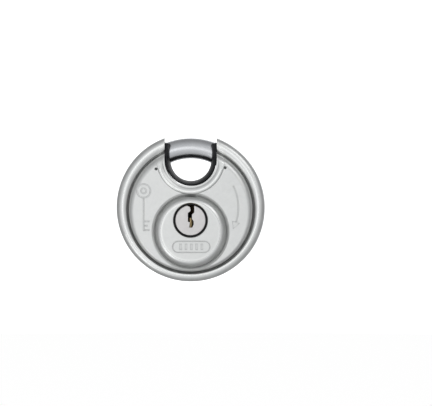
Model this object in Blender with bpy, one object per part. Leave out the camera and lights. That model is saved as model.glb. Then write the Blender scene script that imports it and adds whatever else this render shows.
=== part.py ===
"""Disc padlock: two deep-drawn shells round a turning shackle, with a pin tumbler cylinder that drives it.

The lock hangs upright, its front towards -Y. The world origin is the point on the shackle's underside that
rests on a hasp's staple. Every solid is laid out from the body centre, the axis that the shackle turns about:
x to the right, z up, y through the thickness, with the joint between the shells at y = 0.
"""

import math

import bmesh
import bpy

MM = 0.001

# The body, seen from the front
BODY_RADIUS = 25.0 * MM
BODY_DEPTH = 21.0 * MM  # across the two bosses
SHEET = 1.2 * MM  # stainless sheet of the shells
SEAM_GAP = 0.3 * MM  # between the shells, before they are welded
RIM_WIDTH = 2.3 * MM  # from the body's edge in to the crown of the half-round rim
RIM_RISE = 1.5 * MM  # of the crown above the groove
RIM_ROUND = 2.1 * MM
GROOVE_WIDTH = 1.6 * MM  # from the crown in to the bottom of the ring groove
GROOVE_HEIGHT = -0.75 * MM  # of its centre, from the body centre
SHOULDER_WIDTH = 2.2 * MM  # from the groove in to the plateau, the flat face
SHOULDER_RISE = 2.6 * MM
PLATEAU_HEIGHT = -1.6 * MM

# The round boss over the cylinder
BOSS_HEIGHT = -8.0 * MM  # of its centre, from the body centre
BOSS_ROOM = 0.72 * MM  # between the cylinder housing and the boss's wall, at the top of its foot
BOSS_TAPER = 0.75 * MM  # of its sloping wall
BOSS_EDGE = (1.9 * MM, 1.3 * MM)  # width and depth of the rounded edge
GUTTER_WIDTH = 1.0 * MM  # sloping ring round the boss's foot
GUTTER_DROP = 0.5 * MM

# The throat that takes the staple
THROAT_HALF_WIDTH = 8.7 * MM
THROAT_FLOOR = 7.05 * MM  # above the body centre
BEAD_WIDTH = 2.7 * MM  # rounded steel bead round the throat
BEAD_CREST = 1.9 * MM  # from the throat's edge
BEAD_RISE = 0.45 * MM
LINER_WALL = 1.9 * MM  # at the middle of the plastic liner
LINER_INSET = 1.1 * MM  # behind the plateau
LINER_DROP = 3.6 * MM  # of its ends below the body's edge

# The shackle
SHACKLE_DIAMETER = 7.0 * MM
SHACKLE_CLEARANCE = 0.35 * MM
SHACKLE_ROOM = 0.1 * MM  # between its sides and the groove's inside
SHACKLE_TRAVEL = math.radians(72)
NOSE_ANGLE = math.radians(132)  # closed, from +X towards +Z
TAIL_ANGLE = math.radians(-3)
LAND_ANGLE = math.radians(15)  # length of the flat at the tail

# The cylinder
PLUG_HEIGHT = -4.27 * MM
PLUG_RADIUS = 5.0 * MM
PLUG_TRAVEL = math.radians(120)
PLUG_RECESS = 0.2 * MM  # of its face below the boss
FACE_HOLE_GAP = 0.7 * MM  # between the plug and the hole in the shell
RUNNING_GAP = 0.15 * MM
FITTING_GAP = 0.2 * MM
HOUSING_WALL = 1.25 * MM
HOUSING_END_WALL = 0.8 * MM
STEM_WALL = 1.85 * MM  # at the sides of the pin chambers
STEM_ROOM = 1.85 * MM  # below the stem's foot, to the boss's wall
TAIL_RADIUS = 2.2 * MM
PIN_RADIUS = 1.0 * MM
PIN_WALL = 0.25 * MM  # between two chambers
PIN_END_WALL = 0.35 * MM  # before the first chamber and behind the last
KEY_PIN_LENGTHS = (6.0 * MM, 4.8 * MM, 5.6 * MM, 5.2 * MM)
DRIVER_LENGTH = 3.6 * MM
CHAMBER_TOP = 2.2 * MM  # above the plug's axis
SPRING_WIRE = 0.3 * MM
SPRING_TURNS = 5
COVER_THICKNESS = 0.5 * MM

# The drive between plug and shackle
CARRIER_THICKNESS = 1.2 * MM
CARRIER_GAP = 0.3 * MM  # from the shackle's land, and from the housing
CRANK_THICKNESS = 1.2 * MM
SCREW_HEAD = 1.0 * MM
SCREW_GAP = 0.25 * MM
REAR_ROOM = 0.65 * MM  # behind the screw's head
CRANK_PIN_RADIUS = 0.9 * MM
SLOT_GAP = 0.15 * MM
DOWEL_RADIUS = 0.9 * MM
CORE_GAP = 0.45 * MM  # between the core and the shackle
ANTI_DRILL_THICKNESS = 1.0 * MM

# Worked out from the above
SHACKLE_RADIUS = SHACKLE_DIAMETER / 2
TRACK_RADIUS = BODY_RADIUS - SHEET - SHACKLE_CLEARANCE - SHACKLE_RADIUS
TUNNEL_RADIUS = SHACKLE_RADIUS + 0.3 * MM
SEAT_HEIGHT = TRACK_RADIUS - SHACKLE_RADIUS
SHELL_DEPTH = BODY_DEPTH / 2
CROWN_RADIUS = BODY_RADIUS - RIM_WIDTH
GROOVE_RADIUS = CROWN_RADIUS - GROOVE_WIDTH
PLATEAU_RADIUS = GROOVE_RADIUS - SHOULDER_WIDTH
GROOVE_DEPTH = SHACKLE_RADIUS + SHACKLE_ROOM + SHEET
CROWN_DEPTH = GROOVE_DEPTH + RIM_RISE
PLATEAU_DEPTH = GROOVE_DEPTH + SHOULDER_RISE
THROAT_CENTRE = THROAT_FLOOR + THROAT_HALF_WIDTH
LINER_DEPTH = 2 * (PLATEAU_DEPTH - LINER_INSET)
LINER_TOP = BODY_RADIUS - LINER_DROP
BORE_RADIUS = PLUG_RADIUS + RUNNING_GAP
CHAMBER_RADIUS = PIN_RADIUS + RUNNING_GAP
HOUSING_RADIUS = BORE_RADIUS + HOUSING_WALL
STEM_HALF_WIDTH = CHAMBER_RADIUS + STEM_WALL
BOSS_RADIUS = PLUG_HEIGHT - BOSS_HEIGHT + HOUSING_RADIUS + BOSS_ROOM + SHEET  # at its foot
BOSS_TOP_RADIUS = BOSS_RADIUS - BOSS_TAPER
STEM_FOOT = BOSS_HEIGHT - (BOSS_RADIUS - SHEET - STEM_ROOM)
ANTI_DRILL_FRONT = -(SHELL_DEPTH - SHEET - FITTING_GAP)
ANTI_DRILL_RADIUS = BOSS_TOP_RADIUS - SHEET - BOSS_EDGE[0] + 0.6 * MM
HOUSING_FRONT = ANTI_DRILL_FRONT + ANTI_DRILL_THICKNESS + FITTING_GAP
FIRST_PIN = HOUSING_FRONT + PIN_END_WALL + CHAMBER_RADIUS  # y of the pin nearest the keyhole
PIN_PITCH = 2 * CHAMBER_RADIUS + PIN_WALL
LAST_PIN = FIRST_PIN + PIN_PITCH * (len(KEY_PIN_LENGTHS) - 1)
HOUSING_REAR = LAST_PIN + CHAMBER_RADIUS + PIN_END_WALL + HOUSING_END_WALL
CORE_FRONT = -(PLATEAU_DEPTH - SHEET - FITTING_GAP)
CORE_RADIUS = SEAT_HEIGHT - CORE_GAP
LAND_DEPTH = max(SHACKLE_RADIUS + SHACKLE_ROOM, HOUSING_REAR + 0.05 * MM)
CARRIER_FRONT = LAND_DEPTH + CARRIER_GAP
CARRIER_REAR = CARRIER_FRONT + CARRIER_THICKNESS
CARRIER_EDGE = PLATEAU_RADIUS - 0.1 * MM
CRANK_REAR = SHELL_DEPTH - SHEET - REAR_ROOM - SCREW_HEAD - SCREW_GAP
CRANK_FRONT = CRANK_REAR - CRANK_THICKNESS
# The crank pin turns the shackle through SHACKLE_TRAVEL while the plug turns through PLUG_TRAVEL.
HALF_SWING = math.tan(SHACKLE_TRAVEL / 2)
CRANK_RADIUS = -PLUG_HEIGHT * HALF_SWING / (
    math.sin(PLUG_TRAVEL / 2) - math.cos(PLUG_TRAVEL / 2) * HALF_SWING
)
FAR_SLOT = CRANK_RADIUS - PLUG_HEIGHT
NEAR_SLOT = math.hypot(
    CRANK_RADIUS * math.sin(PLUG_TRAVEL / 2),
    CRANK_RADIUS * math.cos(PLUG_TRAVEL / 2) - PLUG_HEIGHT,
)
ROUND_STEPS = 72
SMALL_STEPS = 32
PIN_STEPS = 16
BEYOND = 5.0 * MM  # how far a cutter runs past what it cuts


def clear_scene():
    for obj in list(bpy.data.objects):
        bpy.data.objects.remove(obj)


def make_material(name, colour, roughness, metallic=1.0):
    material = bpy.data.materials.new(name)
    material.use_nodes = True
    shader = material.node_tree.nodes["Principled BSDF"]
    shader.inputs["Base Color"].default_value = (*colour, 1.0)
    shader.inputs["Roughness"].default_value = roughness
    shader.inputs["Metallic"].default_value = metallic
    return material


def make_axis(name, parent, location):
    """An empty on an axis of the lock, to hang pieces on."""
    axis = bpy.data.objects.new(name, None)
    bpy.context.scene.collection.objects.link(axis)
    axis.parent = parent
    axis.location = location
    return axis


def make_piece(name, mesh_maker, parent, material=None):
    """One object from a bmesh. Without a material it is a cutter or a shape to join, which isn't rendered."""
    bmesh.ops.remove_doubles(mesh_maker, verts=mesh_maker.verts, dist=1e-7)
    bmesh.ops.recalc_face_normals(mesh_maker, faces=mesh_maker.faces)
    mesh = bpy.data.meshes.new(name)
    mesh_maker.to_mesh(mesh)
    mesh_maker.free()
    obj = bpy.data.objects.new(name, mesh)
    bpy.context.scene.collection.objects.link(obj)
    obj.parent = parent
    if material:
        mesh.materials.append(material)
        mesh.shade_smooth()
        mesh.set_sharp_from_angle(angle=math.radians(35))
    else:
        obj.hide_render = True
        obj.display_type = "WIRE"
    return obj


def combine(target, other, operation="DIFFERENCE"):
    modifier = target.modifiers.new(f"{operation.lower()} {other.name}", "BOOLEAN")
    modifier.operation = operation
    modifier.solver = "EXACT"
    modifier.object = other
    return target


def turned(profile, steps, ring=False):
    """A turned solid about the Y axis from (radius, y) points, with flat ends or, as a ring, closed up."""
    turning = bmesh.new()
    points = [turning.verts.new((radius, y, 0.0)) for radius, y in profile]
    edges = [turning.edges.new(pair) for pair in zip(points, points[1:])]
    if ring:
        edges.append(turning.edges.new((points[-1], points[0])))
    bmesh.ops.spin(
        turning,
        geom=points + edges,
        cent=(0, 0, 0),
        axis=(0, 1, 0),
        angle=math.tau,
        steps=steps,
        use_merge=True,
    )
    if not ring:
        bmesh.ops.holes_fill(turning, edges=turning.edges, sides=0)
    return turning


def rod(radius, start, end, steps, centre=(0.0, 0.0)):
    """A plain round bar along Y."""
    bar = turned([(radius, start), (radius, end)], steps)
    bmesh.ops.translate(bar, verts=bar.verts, vec=(centre[0], 0.0, centre[1]))
    return bar


def upright_rod(profile, steps, y):
    """A turned solid about a vertical axis at depth y, from (radius, z) points."""
    bar = turned(profile, steps)
    for vert in bar.verts:
        vert.co = (vert.co.x, vert.co.z + y, vert.co.y)
    return bar


def plate(outline, start, end):
    """A flat plate with an outline of (x, z) points, from y = start to y = end."""
    slab = bmesh.new()
    face = slab.faces.new([slab.verts.new((x, start, z)) for x, z in outline])
    grown = bmesh.ops.extrude_face_region(slab, geom=[face])["geom"]
    moved = [item for item in grown if isinstance(item, bmesh.types.BMVert)]
    bmesh.ops.translate(slab, verts=moved, vec=(0.0, end - start, 0.0))
    return slab


def arc(radius, start, end, steps, centre=(0.0, 0.0)):
    """Points of an arc in the x-z plane, angles in radians from +X towards +Z."""
    angles = [start + (end - start) * step / steps for step in range(steps + 1)]
    return [(centre[0] + radius * math.cos(a), centre[1] + radius * math.sin(a)) for a in angles]


def smooth_step(value):
    share = min(1.0, max(0.0, value))
    return share * share * (3 - 2 * share)


def swept(rings):
    """A solid through a row of rings, each a list of points, closed by flat ends."""
    sweep = bmesh.new()
    rows = [[sweep.verts.new(point) for point in ring] for ring in rings]
    for row, following in zip(rows, rows[1:]):
        for index in range(len(row)):
            after = (index + 1) % len(row)
            sweep.faces.new((row[index], row[after], following[after], following[index]))
    sweep.faces.new(rows[0])
    sweep.faces.new(rows[-1])
    return sweep


def round_the_throat(section, top, steps=31):
    """A section of (distance from the throat's middle, y) points, swept down one side and up the other."""
    angles = [math.pi + math.pi * step / steps for step in range(steps + 1)]
    stations = [(math.pi, top)] + [(a, THROAT_CENTRE) for a in angles] + [(math.tau, top)]
    rings = [
        [(out * math.cos(a), y, height + out * math.sin(a)) for out, y in section]
        for a, height in stations
    ]
    return swept(rings)


def throat_block(half_width, depth):
    """The throat's outline as a solid, to cut with."""
    top = BODY_RADIUS + BEYOND
    floor = arc(half_width, math.pi, math.tau, 36, (0.0, THROAT_CENTRE))
    return plate([(-half_width, top), *floor, (half_width, top)], -depth, depth)


def round_section(radius, steps):
    return [
        (radius * math.cos(math.tau * step / steps), radius * math.sin(math.tau * step / steps))
        for step in range(steps)
    ]


def bent_bar(stations, steps):
    """A round bar bent round the body centre, through (angle, radius) stations."""
    rings = []
    for angle, radius in stations:
        ring = [
            ((TRACK_RADIUS + out) * math.cos(angle), y, (TRACK_RADIUS + out) * math.sin(angle))
            for out, y in round_section(radius, steps)
        ]
        rings.append(ring)
    return swept(rings)


def shoulder_ring(turn, inset=0.0):
    """A ring of the rounded shoulder between plateau (0) and groove (90 degrees), as (centre, radius, y)."""
    share, level = math.sin(math.radians(turn)), math.cos(math.radians(turn))
    width, height = GROOVE_RADIUS - PLATEAU_RADIUS, PLATEAU_DEPTH - GROOVE_DEPTH
    lean = math.atan2(share / width, level / height)
    return (
        PLATEAU_HEIGHT + (GROOVE_HEIGHT - PLATEAU_HEIGHT) * share,
        PLATEAU_RADIUS + width * share - inset * math.sin(lean),
        GROOVE_DEPTH + height * level - inset * math.cos(lean),
    )


def lofted_disc(rings, side):
    """A solid through rings that each have their own centre, given as (centre height, radius, depth)."""
    angles = [math.tau * step / ROUND_STEPS for step in range(ROUND_STEPS)]
    return swept(
        [
            [(radius * math.cos(a), side * depth, height + radius * math.sin(a)) for a in angles]
            for height, radius, depth in rings
        ]
    )


def outer_rings():
    """The shell's outer face from the plateau to past the joint."""
    rings = [shoulder_ring(turn) for turn in (0, 22, 42, 60, 76, 90)]
    rise = CROWN_DEPTH - GROOVE_DEPTH
    for turn in (20, 45, 68):
        lean = math.radians(turn)
        radius = CROWN_RADIUS - (CROWN_RADIUS - GROOVE_RADIUS) * math.cos(lean)
        rings.append((GROOVE_HEIGHT * math.cos(lean), radius, GROOVE_DEPTH + rise * math.sin(lean)))
    for turn in (0, 20, 40, 60, 78):
        lean = math.radians(turn)
        depth = CROWN_DEPTH - RIM_ROUND * (1 - math.cos(lean))
        rings.append((0.0, CROWN_RADIUS + RIM_ROUND * math.sin(lean), depth))
    side_depth = CROWN_DEPTH - RIM_ROUND
    rings += [(0.0, BODY_RADIUS - 0.1 * MM, 0.75 * side_depth), (0.0, BODY_RADIUS, 0.3 * side_depth)]
    return rings + [(0.0, BODY_RADIUS, 0.0), (0.0, BODY_RADIUS, -1.0 * MM)]


def inner_rings():
    """The hollow inside a shell, one sheet thickness inside its outer face."""
    edge = BODY_RADIUS - SHEET
    rings = [shoulder_ring(turn, SHEET) for turn in (0, 37, 65)]
    rings += [
        (GROOVE_HEIGHT, GROOVE_RADIUS - 0.2 * MM, GROOVE_DEPTH - SHEET),
        (GROOVE_HEIGHT, GROOVE_RADIUS + 0.4 * MM, GROOVE_DEPTH - SHEET),
        (0.0, CROWN_RADIUS - 0.2 * MM, CROWN_DEPTH - 1.2 * SHEET),
        (0.0, CROWN_RADIUS + 0.3 * MM, CROWN_DEPTH - 1.05 * SHEET),
        (0.0, edge - 0.3 * MM, CROWN_DEPTH - 1.5 * SHEET),
        (0.0, edge, CROWN_DEPTH - RIM_ROUND - 0.7 * MM),
    ]
    return rings + [(0.0, edge, 0.0), (0.0, edge, -BEYOND)]


def boss_profile(side, inset, foot):
    """The boss as a turned solid, or with an inset of one sheet the hollow inside it."""
    width, drop = BOSS_EDGE
    radius, top = BOSS_TOP_RADIUS - inset, SHELL_DEPTH - inset
    points = []
    for turn in (0, 22, 45, 68, 90):
        lean = math.radians(turn)
        out = radius - width + width * math.sin(lean)
        points.append((out, top - drop + drop * math.cos(lean)))
    points += [(BOSS_RADIUS - inset, PLATEAU_DEPTH - GUTTER_DROP), (BOSS_RADIUS - inset, foot)]
    return [(out, side * depth) for out, depth in points]


def make_shell(name, side, parent, material):
    """One deep-drawn half of the body. Side is -1 for the front and 1 for the rear."""
    shell = make_piece(name, lofted_disc(outer_rings(), side), parent, material)

    gutter = make_piece(
        f"{name} gutter",
        turned(
            [
                (BOSS_RADIUS - 0.5 * MM, side * (PLATEAU_DEPTH - GUTTER_DROP)),
                (BOSS_RADIUS, side * (PLATEAU_DEPTH - GUTTER_DROP)),
                (BOSS_RADIUS + GUTTER_WIDTH, side * PLATEAU_DEPTH),
                (BOSS_RADIUS + GUTTER_WIDTH, side * (PLATEAU_DEPTH + BEYOND)),
                (BOSS_RADIUS - 0.5 * MM, side * (PLATEAU_DEPTH + BEYOND)),
            ],
            ROUND_STEPS,
            ring=True,
        ),
        parent,
    )
    gutter.location.z = BOSS_HEIGHT
    combine(shell, gutter)

    boss_foot = PLATEAU_DEPTH - 3.0 * MM
    boss = make_piece(
        f"{name} boss",
        turned(boss_profile(side, 0.0, boss_foot), ROUND_STEPS),
        parent,
    )
    boss.location.z = BOSS_HEIGHT
    combine(shell, boss, "UNION")

    foot = 2.0 * MM
    crest = PLATEAU_DEPTH + BEAD_RISE
    middle = THROAT_HALF_WIDTH + BEAD_CREST
    section = [(THROAT_HALF_WIDTH - 0.5 * MM, foot), (THROAT_HALF_WIDTH - 0.5 * MM, crest - 2.2 * MM)]
    for turn in (-75, -55, -35, -15, 0):
        lean = math.radians(turn)
        out = middle + (BEAD_CREST + 0.2 * MM) * math.sin(lean)
        section.append((out, crest - BEAD_CREST * (1 - math.cos(lean))))
    section += [
        (middle + 0.4 * MM, crest - 0.12 * MM),
        (THROAT_HALF_WIDTH + BEAD_WIDTH, PLATEAU_DEPTH - 0.1 * MM),
        (THROAT_HALF_WIDTH + BEAD_WIDTH, foot),
    ]
    bead = make_piece(
        f"{name} bead",
        round_the_throat([(out, side * depth) for out, depth in section], BODY_RADIUS + BEYOND),
        parent,
    )
    height, radius, depth = shoulder_ring(30)
    limit = [
        (PLATEAU_HEIGHT, PLATEAU_RADIUS - 1.5 * MM, crest + 0.05 * MM),
        (PLATEAU_HEIGHT, PLATEAU_RADIUS - 0.5 * MM, crest - 0.2 * MM),
        (height, radius, depth - 0.05 * MM),
        (height, radius, 1.0 * MM),
    ]
    envelope = make_piece(f"{name} envelope", lofted_disc(limit, side), parent)
    combine(bead, envelope, "INTERSECT")
    combine(shell, bead, "UNION")

    cavity = make_piece(f"{name} cavity", lofted_disc(inner_rings(), side), parent)
    boss_hollow = make_piece(
        f"{name} boss hollow",
        turned(boss_profile(side, SHEET, PLATEAU_DEPTH - SHEET - 2.0 * MM), ROUND_STEPS),
        parent,
    )
    boss_hollow.location.z = BOSS_HEIGHT
    combine(cavity, boss_hollow, "UNION")
    throat_wall = make_piece(
        f"{name} throat wall", throat_block(THROAT_HALF_WIDTH + SHEET, BODY_DEPTH), parent
    )
    combine(cavity, throat_wall)
    tunnel = make_piece(
        f"{name} tunnel",
        bent_bar([(math.radians(a), TUNNEL_RADIUS) for a in range(40, 141, 5)], SMALL_STEPS),
        parent,
    )
    combine(cavity, tunnel, "UNION")
    combine(shell, cavity)

    throat = make_piece(f"{name} throat", throat_block(THROAT_HALF_WIDTH, BODY_DEPTH), parent)
    combine(shell, throat)
    reach = BODY_RADIUS + BEYOND
    square = [(-reach, -reach), (reach, -reach), (reach, reach), (-reach, reach)]
    joint = make_piece(
        f"{name} joint", plate(square, -side * 2 * BEYOND, side * SEAM_GAP / 2), parent
    )
    return combine(shell, joint)


def make_liner(parent, material):
    """The U-shaped plastic lining of the throat, forked to let the shackle through."""
    outside = THROAT_HALF_WIDTH - FITTING_GAP
    inside = THROAT_HALF_WIDTH - LINER_WALL
    half = LINER_DEPTH / 2
    section = [(outside, -half), (outside, half)]
    edge = outside - 0.5 * MM
    for turn in (60, 40, 20, 0, -20, -40, -60):
        bulge = 2 * math.cos(math.radians(turn)) - 1
        depth = half * math.sin(math.radians(turn)) / math.sin(math.radians(60))
        section.append((edge - (edge - inside) * bulge, depth))
    liner = make_piece("throat_liner", round_the_throat(section, LINER_TOP), parent, material)
    tunnel = make_piece(
        "liner tunnel",
        bent_bar([(math.radians(a), TUNNEL_RADIUS) for a in range(40, 141, 5)], SMALL_STEPS),
        parent,
    )
    return combine(liner, tunnel)


def make_shackle(parent, material):
    """The bent bar, its nose rounded, with a flat land at the tail that carries the drive plate."""
    ease = [(0.0, 0.54), (0.4 * MM, 0.77), (1.1 * MM, 0.92), (2.0 * MM, 1.0)]
    start = TAIL_ANGLE + 0.6 * MM / TRACK_RADIUS
    end = NOSE_ANGLE - ease[-1][0] / TRACK_RADIUS
    stations = [(TAIL_ANGLE, SHACKLE_RADIUS - 0.6 * MM)]
    count = 34
    stations += [(start + (end - start) * n / count, SHACKLE_RADIUS) for n in range(count + 1)]
    for back, share in reversed(ease[:-1]):
        stations.append((NOSE_ANGLE - back / TRACK_RADIUS, share * SHACKLE_RADIUS))
    shackle = make_piece("shackle", bent_bar(stations, 24), parent, material)

    first = TAIL_ANGLE + math.radians(1)
    last = TAIL_ANGLE + LAND_ANGLE
    outline = arc(CARRIER_EDGE + 0.2 * MM, first, last, 6)
    outline += arc(SEAT_HEIGHT + 0.3 * MM, last, first, 6)
    land = make_piece("shackle land", plate(outline, 0.5 * MM, LAND_DEPTH), parent)
    combine(shackle, land, "UNION")
    for number, place in enumerate(dowel_places(), 1):
        hole = make_piece(
            f"land dowel hole {number}",
            rod(DOWEL_RADIUS + RUNNING_GAP, 0.6 * MM, BODY_DEPTH, PIN_STEPS, place),
            parent,
        )
        combine(shackle, hole)
    return shackle


def dowel_places():
    """Where the two dowels join the drive plate to the shackle, as (x, z)."""
    radius = (SEAT_HEIGHT + CARRIER_EDGE) / 2
    angles = [TAIL_ANGLE + LAND_ANGLE * share for share in (0.3, 0.75)]
    return [(radius * math.cos(a), radius * math.sin(a)) for a in angles]


def make_carrier(parent, material):
    """The drive plate: a bent lever from the shackle's tail to a radial slot for the crank pin."""
    slot_angle = -math.pi / 2 + SHACKLE_TRAVEL / 2
    low = slot_angle - math.radians(13)
    high = TAIL_ANGLE + LAND_ANGLE
    count = 24
    outer, inner = [], []
    slot_inside = NEAR_SLOT - CRANK_PIN_RADIUS - SLOT_GAP
    slot_outside = FAR_SLOT + CRANK_PIN_RADIUS + SLOT_GAP
    for step in range(count + 1):
        angle = low + (high - low) * step / count
        rising = smooth_step((angle - slot_angle - math.radians(14)) / math.radians(30))
        edge = slot_outside + 1.6 * MM
        edge += (CARRIER_EDGE - edge) * rising
        root = slot_inside - 0.3 * MM
        root += (SEAT_HEIGHT - 2.8 * MM - root) * rising
        outer.append((edge * math.cos(angle), edge * math.sin(angle)))
        inner.append((root * math.cos(angle), root * math.sin(angle)))
    carrier = make_piece(
        "shackle_carrier",
        plate(outer + inner[::-1], CARRIER_FRONT, CARRIER_REAR),
        parent,
        material,
    )
    half = CRANK_PIN_RADIUS + SLOT_GAP
    along = (math.cos(slot_angle), math.sin(slot_angle))
    far = (FAR_SLOT * along[0], FAR_SLOT * along[1])
    near = (NEAR_SLOT * along[0], NEAR_SLOT * along[1])
    quarter = math.pi / 2
    outline = arc(half, slot_angle - quarter, slot_angle + quarter, 8, far)
    outline += arc(half, slot_angle + quarter, slot_angle + 3 * quarter, 8, near)
    slot = make_piece("carrier slot", plate(outline, 0.0, BODY_DEPTH), parent)
    combine(carrier, slot)
    for number, place in enumerate(dowel_places(), 1):
        hole = make_piece(
            f"carrier dowel hole {number}",
            rod(DOWEL_RADIUS + RUNNING_GAP, 0.0, BODY_DEPTH, PIN_STEPS, place),
            parent,
        )
        combine(carrier, hole)
    return carrier


def make_dowels(parent, material):
    for number, place in enumerate(dowel_places(), 1):
        dowel = rod(DOWEL_RADIUS, 0.9 * MM, CARRIER_REAR - 0.1 * MM, PIN_STEPS, place)
        make_piece(f"carrier_dowel_{number}", dowel, parent, material)


def housing_outline(grow=0.0, drop=0.0):
    """The cylinder housing from the front: a round barrel with a stem below for the pin chambers."""
    radius = HOUSING_RADIUS + grow
    half = STEM_HALF_WIDTH + grow
    meet = math.asin(half / radius)
    down = -math.pi / 2
    barrel = arc(radius, down + meet, down + math.tau - meet, 40, (0.0, PLUG_HEIGHT))
    corner = 1.0 * MM
    foot = STEM_FOOT - grow - drop
    left = arc(corner, math.pi, 1.5 * math.pi, 4, (-half + corner, foot + corner))
    right = arc(corner, 1.5 * math.pi, math.tau, 4, (half - corner, foot + corner))
    return barrel + left + right


def make_core(parent, material):
    """The die-cast core that holds the cylinder and guides the inside of the shackle."""
    core = make_piece(
        "core_frame",
        rod(CORE_RADIUS, CORE_FRONT, HOUSING_REAR, ROUND_STEPS),
        parent,
        material,
    )
    for number, (angle, reach) in enumerate(((170, 12.0 * MM), (32, 12.9 * MM)), 1):
        place = (reach * math.cos(math.radians(angle)), reach * math.sin(math.radians(angle)))
        post = make_piece(
            f"core post {number}",
            rod(2.0 * MM, HOUSING_REAR - 1.0 * MM, PLATEAU_DEPTH - SHEET - FITTING_GAP, 24, place),
            parent,
        )
        combine(core, post, "UNION")
    throat = make_piece(
        "core throat",
        throat_block(THROAT_HALF_WIDTH + SHEET + FITTING_GAP, BODY_DEPTH),
        parent,
    )
    combine(core, throat)
    pocket = make_piece(
        "core pocket",
        plate(housing_outline(FITTING_GAP, COVER_THICKNESS + FITTING_GAP), -BODY_DEPTH, BODY_DEPTH),
        parent,
    )
    return combine(core, pocket)


def make_anti_drill_plate(parent, material):
    """A hardened horseshoe behind the front boss, round the plug and open above it."""
    guard = make_piece(
        "anti_drill_plate",
        rod(
            ANTI_DRILL_RADIUS,
            ANTI_DRILL_FRONT,
            ANTI_DRILL_FRONT + ANTI_DRILL_THICKNESS,
            48,
            (0.0, BOSS_HEIGHT),
        ),
        parent,
        material,
    )
    half = 0.82 * BORE_RADIUS
    turn = math.acos(half / BORE_RADIUS)
    outline = arc(BORE_RADIUS, math.pi - turn, math.tau + turn, 38, (0.0, PLUG_HEIGHT))
    outline += [(half, BODY_RADIUS), (-half, BODY_RADIUS)]
    opening = make_piece("anti drill opening", plate(outline, -BODY_DEPTH, BODY_DEPTH), parent)
    return combine(guard, opening)


def make_face_seal(parent, material):
    """The black weather ring that fills the gap between the plug and the hole in the front shell."""
    inside = BORE_RADIUS
    outside = PLUG_RADIUS + FACE_HOLE_GAP - 0.1 * MM
    front = -(SHELL_DEPTH - 0.35 * MM)
    rear = -(SHELL_DEPTH - SHEET - 0.1 * MM)
    ring = [(inside, front), (outside, front), (outside, rear), (inside, rear)]
    seal = make_piece("face_seal", turned(ring, 48, ring=True), parent, material)
    seal.location.z = PLUG_HEIGHT
    return seal


def pin_depths():
    """The y of each pin stack."""
    return [FIRST_PIN + PIN_PITCH * number for number in range(len(KEY_PIN_LENGTHS))]


def make_housing(parent, material):
    """The brass cylinder housing, with the plug's bore and one chamber for each pin."""
    housing = make_piece(
        "cylinder_housing",
        plate(housing_outline(), HOUSING_FRONT, HOUSING_REAR),
        parent,
        material,
    )
    bore_end = HOUSING_REAR - HOUSING_END_WALL
    bore = make_piece(
        "housing bore",
        turned(
            [
                (BORE_RADIUS, HOUSING_FRONT - BEYOND),
                (BORE_RADIUS, bore_end),
                (TAIL_RADIUS + RUNNING_GAP, bore_end),
                (TAIL_RADIUS + RUNNING_GAP, HOUSING_REAR + BEYOND),
            ],
            48,
        ),
        parent,
    )
    bore.location.z = PLUG_HEIGHT
    combine(housing, bore)
    for number, y in enumerate(pin_depths(), 1):
        profile = [(CHAMBER_RADIUS, STEM_FOOT - BEYOND), (CHAMBER_RADIUS, PLUG_HEIGHT)]
        chamber = make_piece(
            f"housing chamber {number}", upright_rod(profile, PIN_STEPS, y), parent
        )
        combine(housing, chamber)
    return housing


def make_chamber_cover(parent, material):
    """The strip that closes the pin chambers and carries the springs."""
    top = STEM_FOOT - FITTING_GAP / 2
    half = STEM_HALF_WIDTH - 0.4 * MM
    outline = [
        (-half, top - COVER_THICKNESS),
        (half, top - COVER_THICKNESS),
        (half, top),
        (-half, top),
    ]
    strip = plate(outline, HOUSING_FRONT + 0.4 * MM, HOUSING_REAR - 0.4 * MM)
    return make_piece("pin_chamber_cover", strip, parent, material)


# The keyway's outline on the plug's face, as (x, z) in mm from its axis: open at the top, with two wards.
KEYWAY = (
    (-0.2, 4.4),
    (0.05, 3.4),
    (-0.2, 2.9),
    (-0.85, 2.45),
    (-0.85, -0.45),
    (-0.2, -0.65),
    (-0.4, -2.4),
    (0.6, -2.4),
    (1.05, -1.3),
    (1.05, -0.3),
    (0.5, 0.5),
    (0.5, 1.9),
    (1.25, 2.65),
    (1.25, 5.6),
    (-1.3, 5.6),
    (-1.3, 4.9),
)


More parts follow.
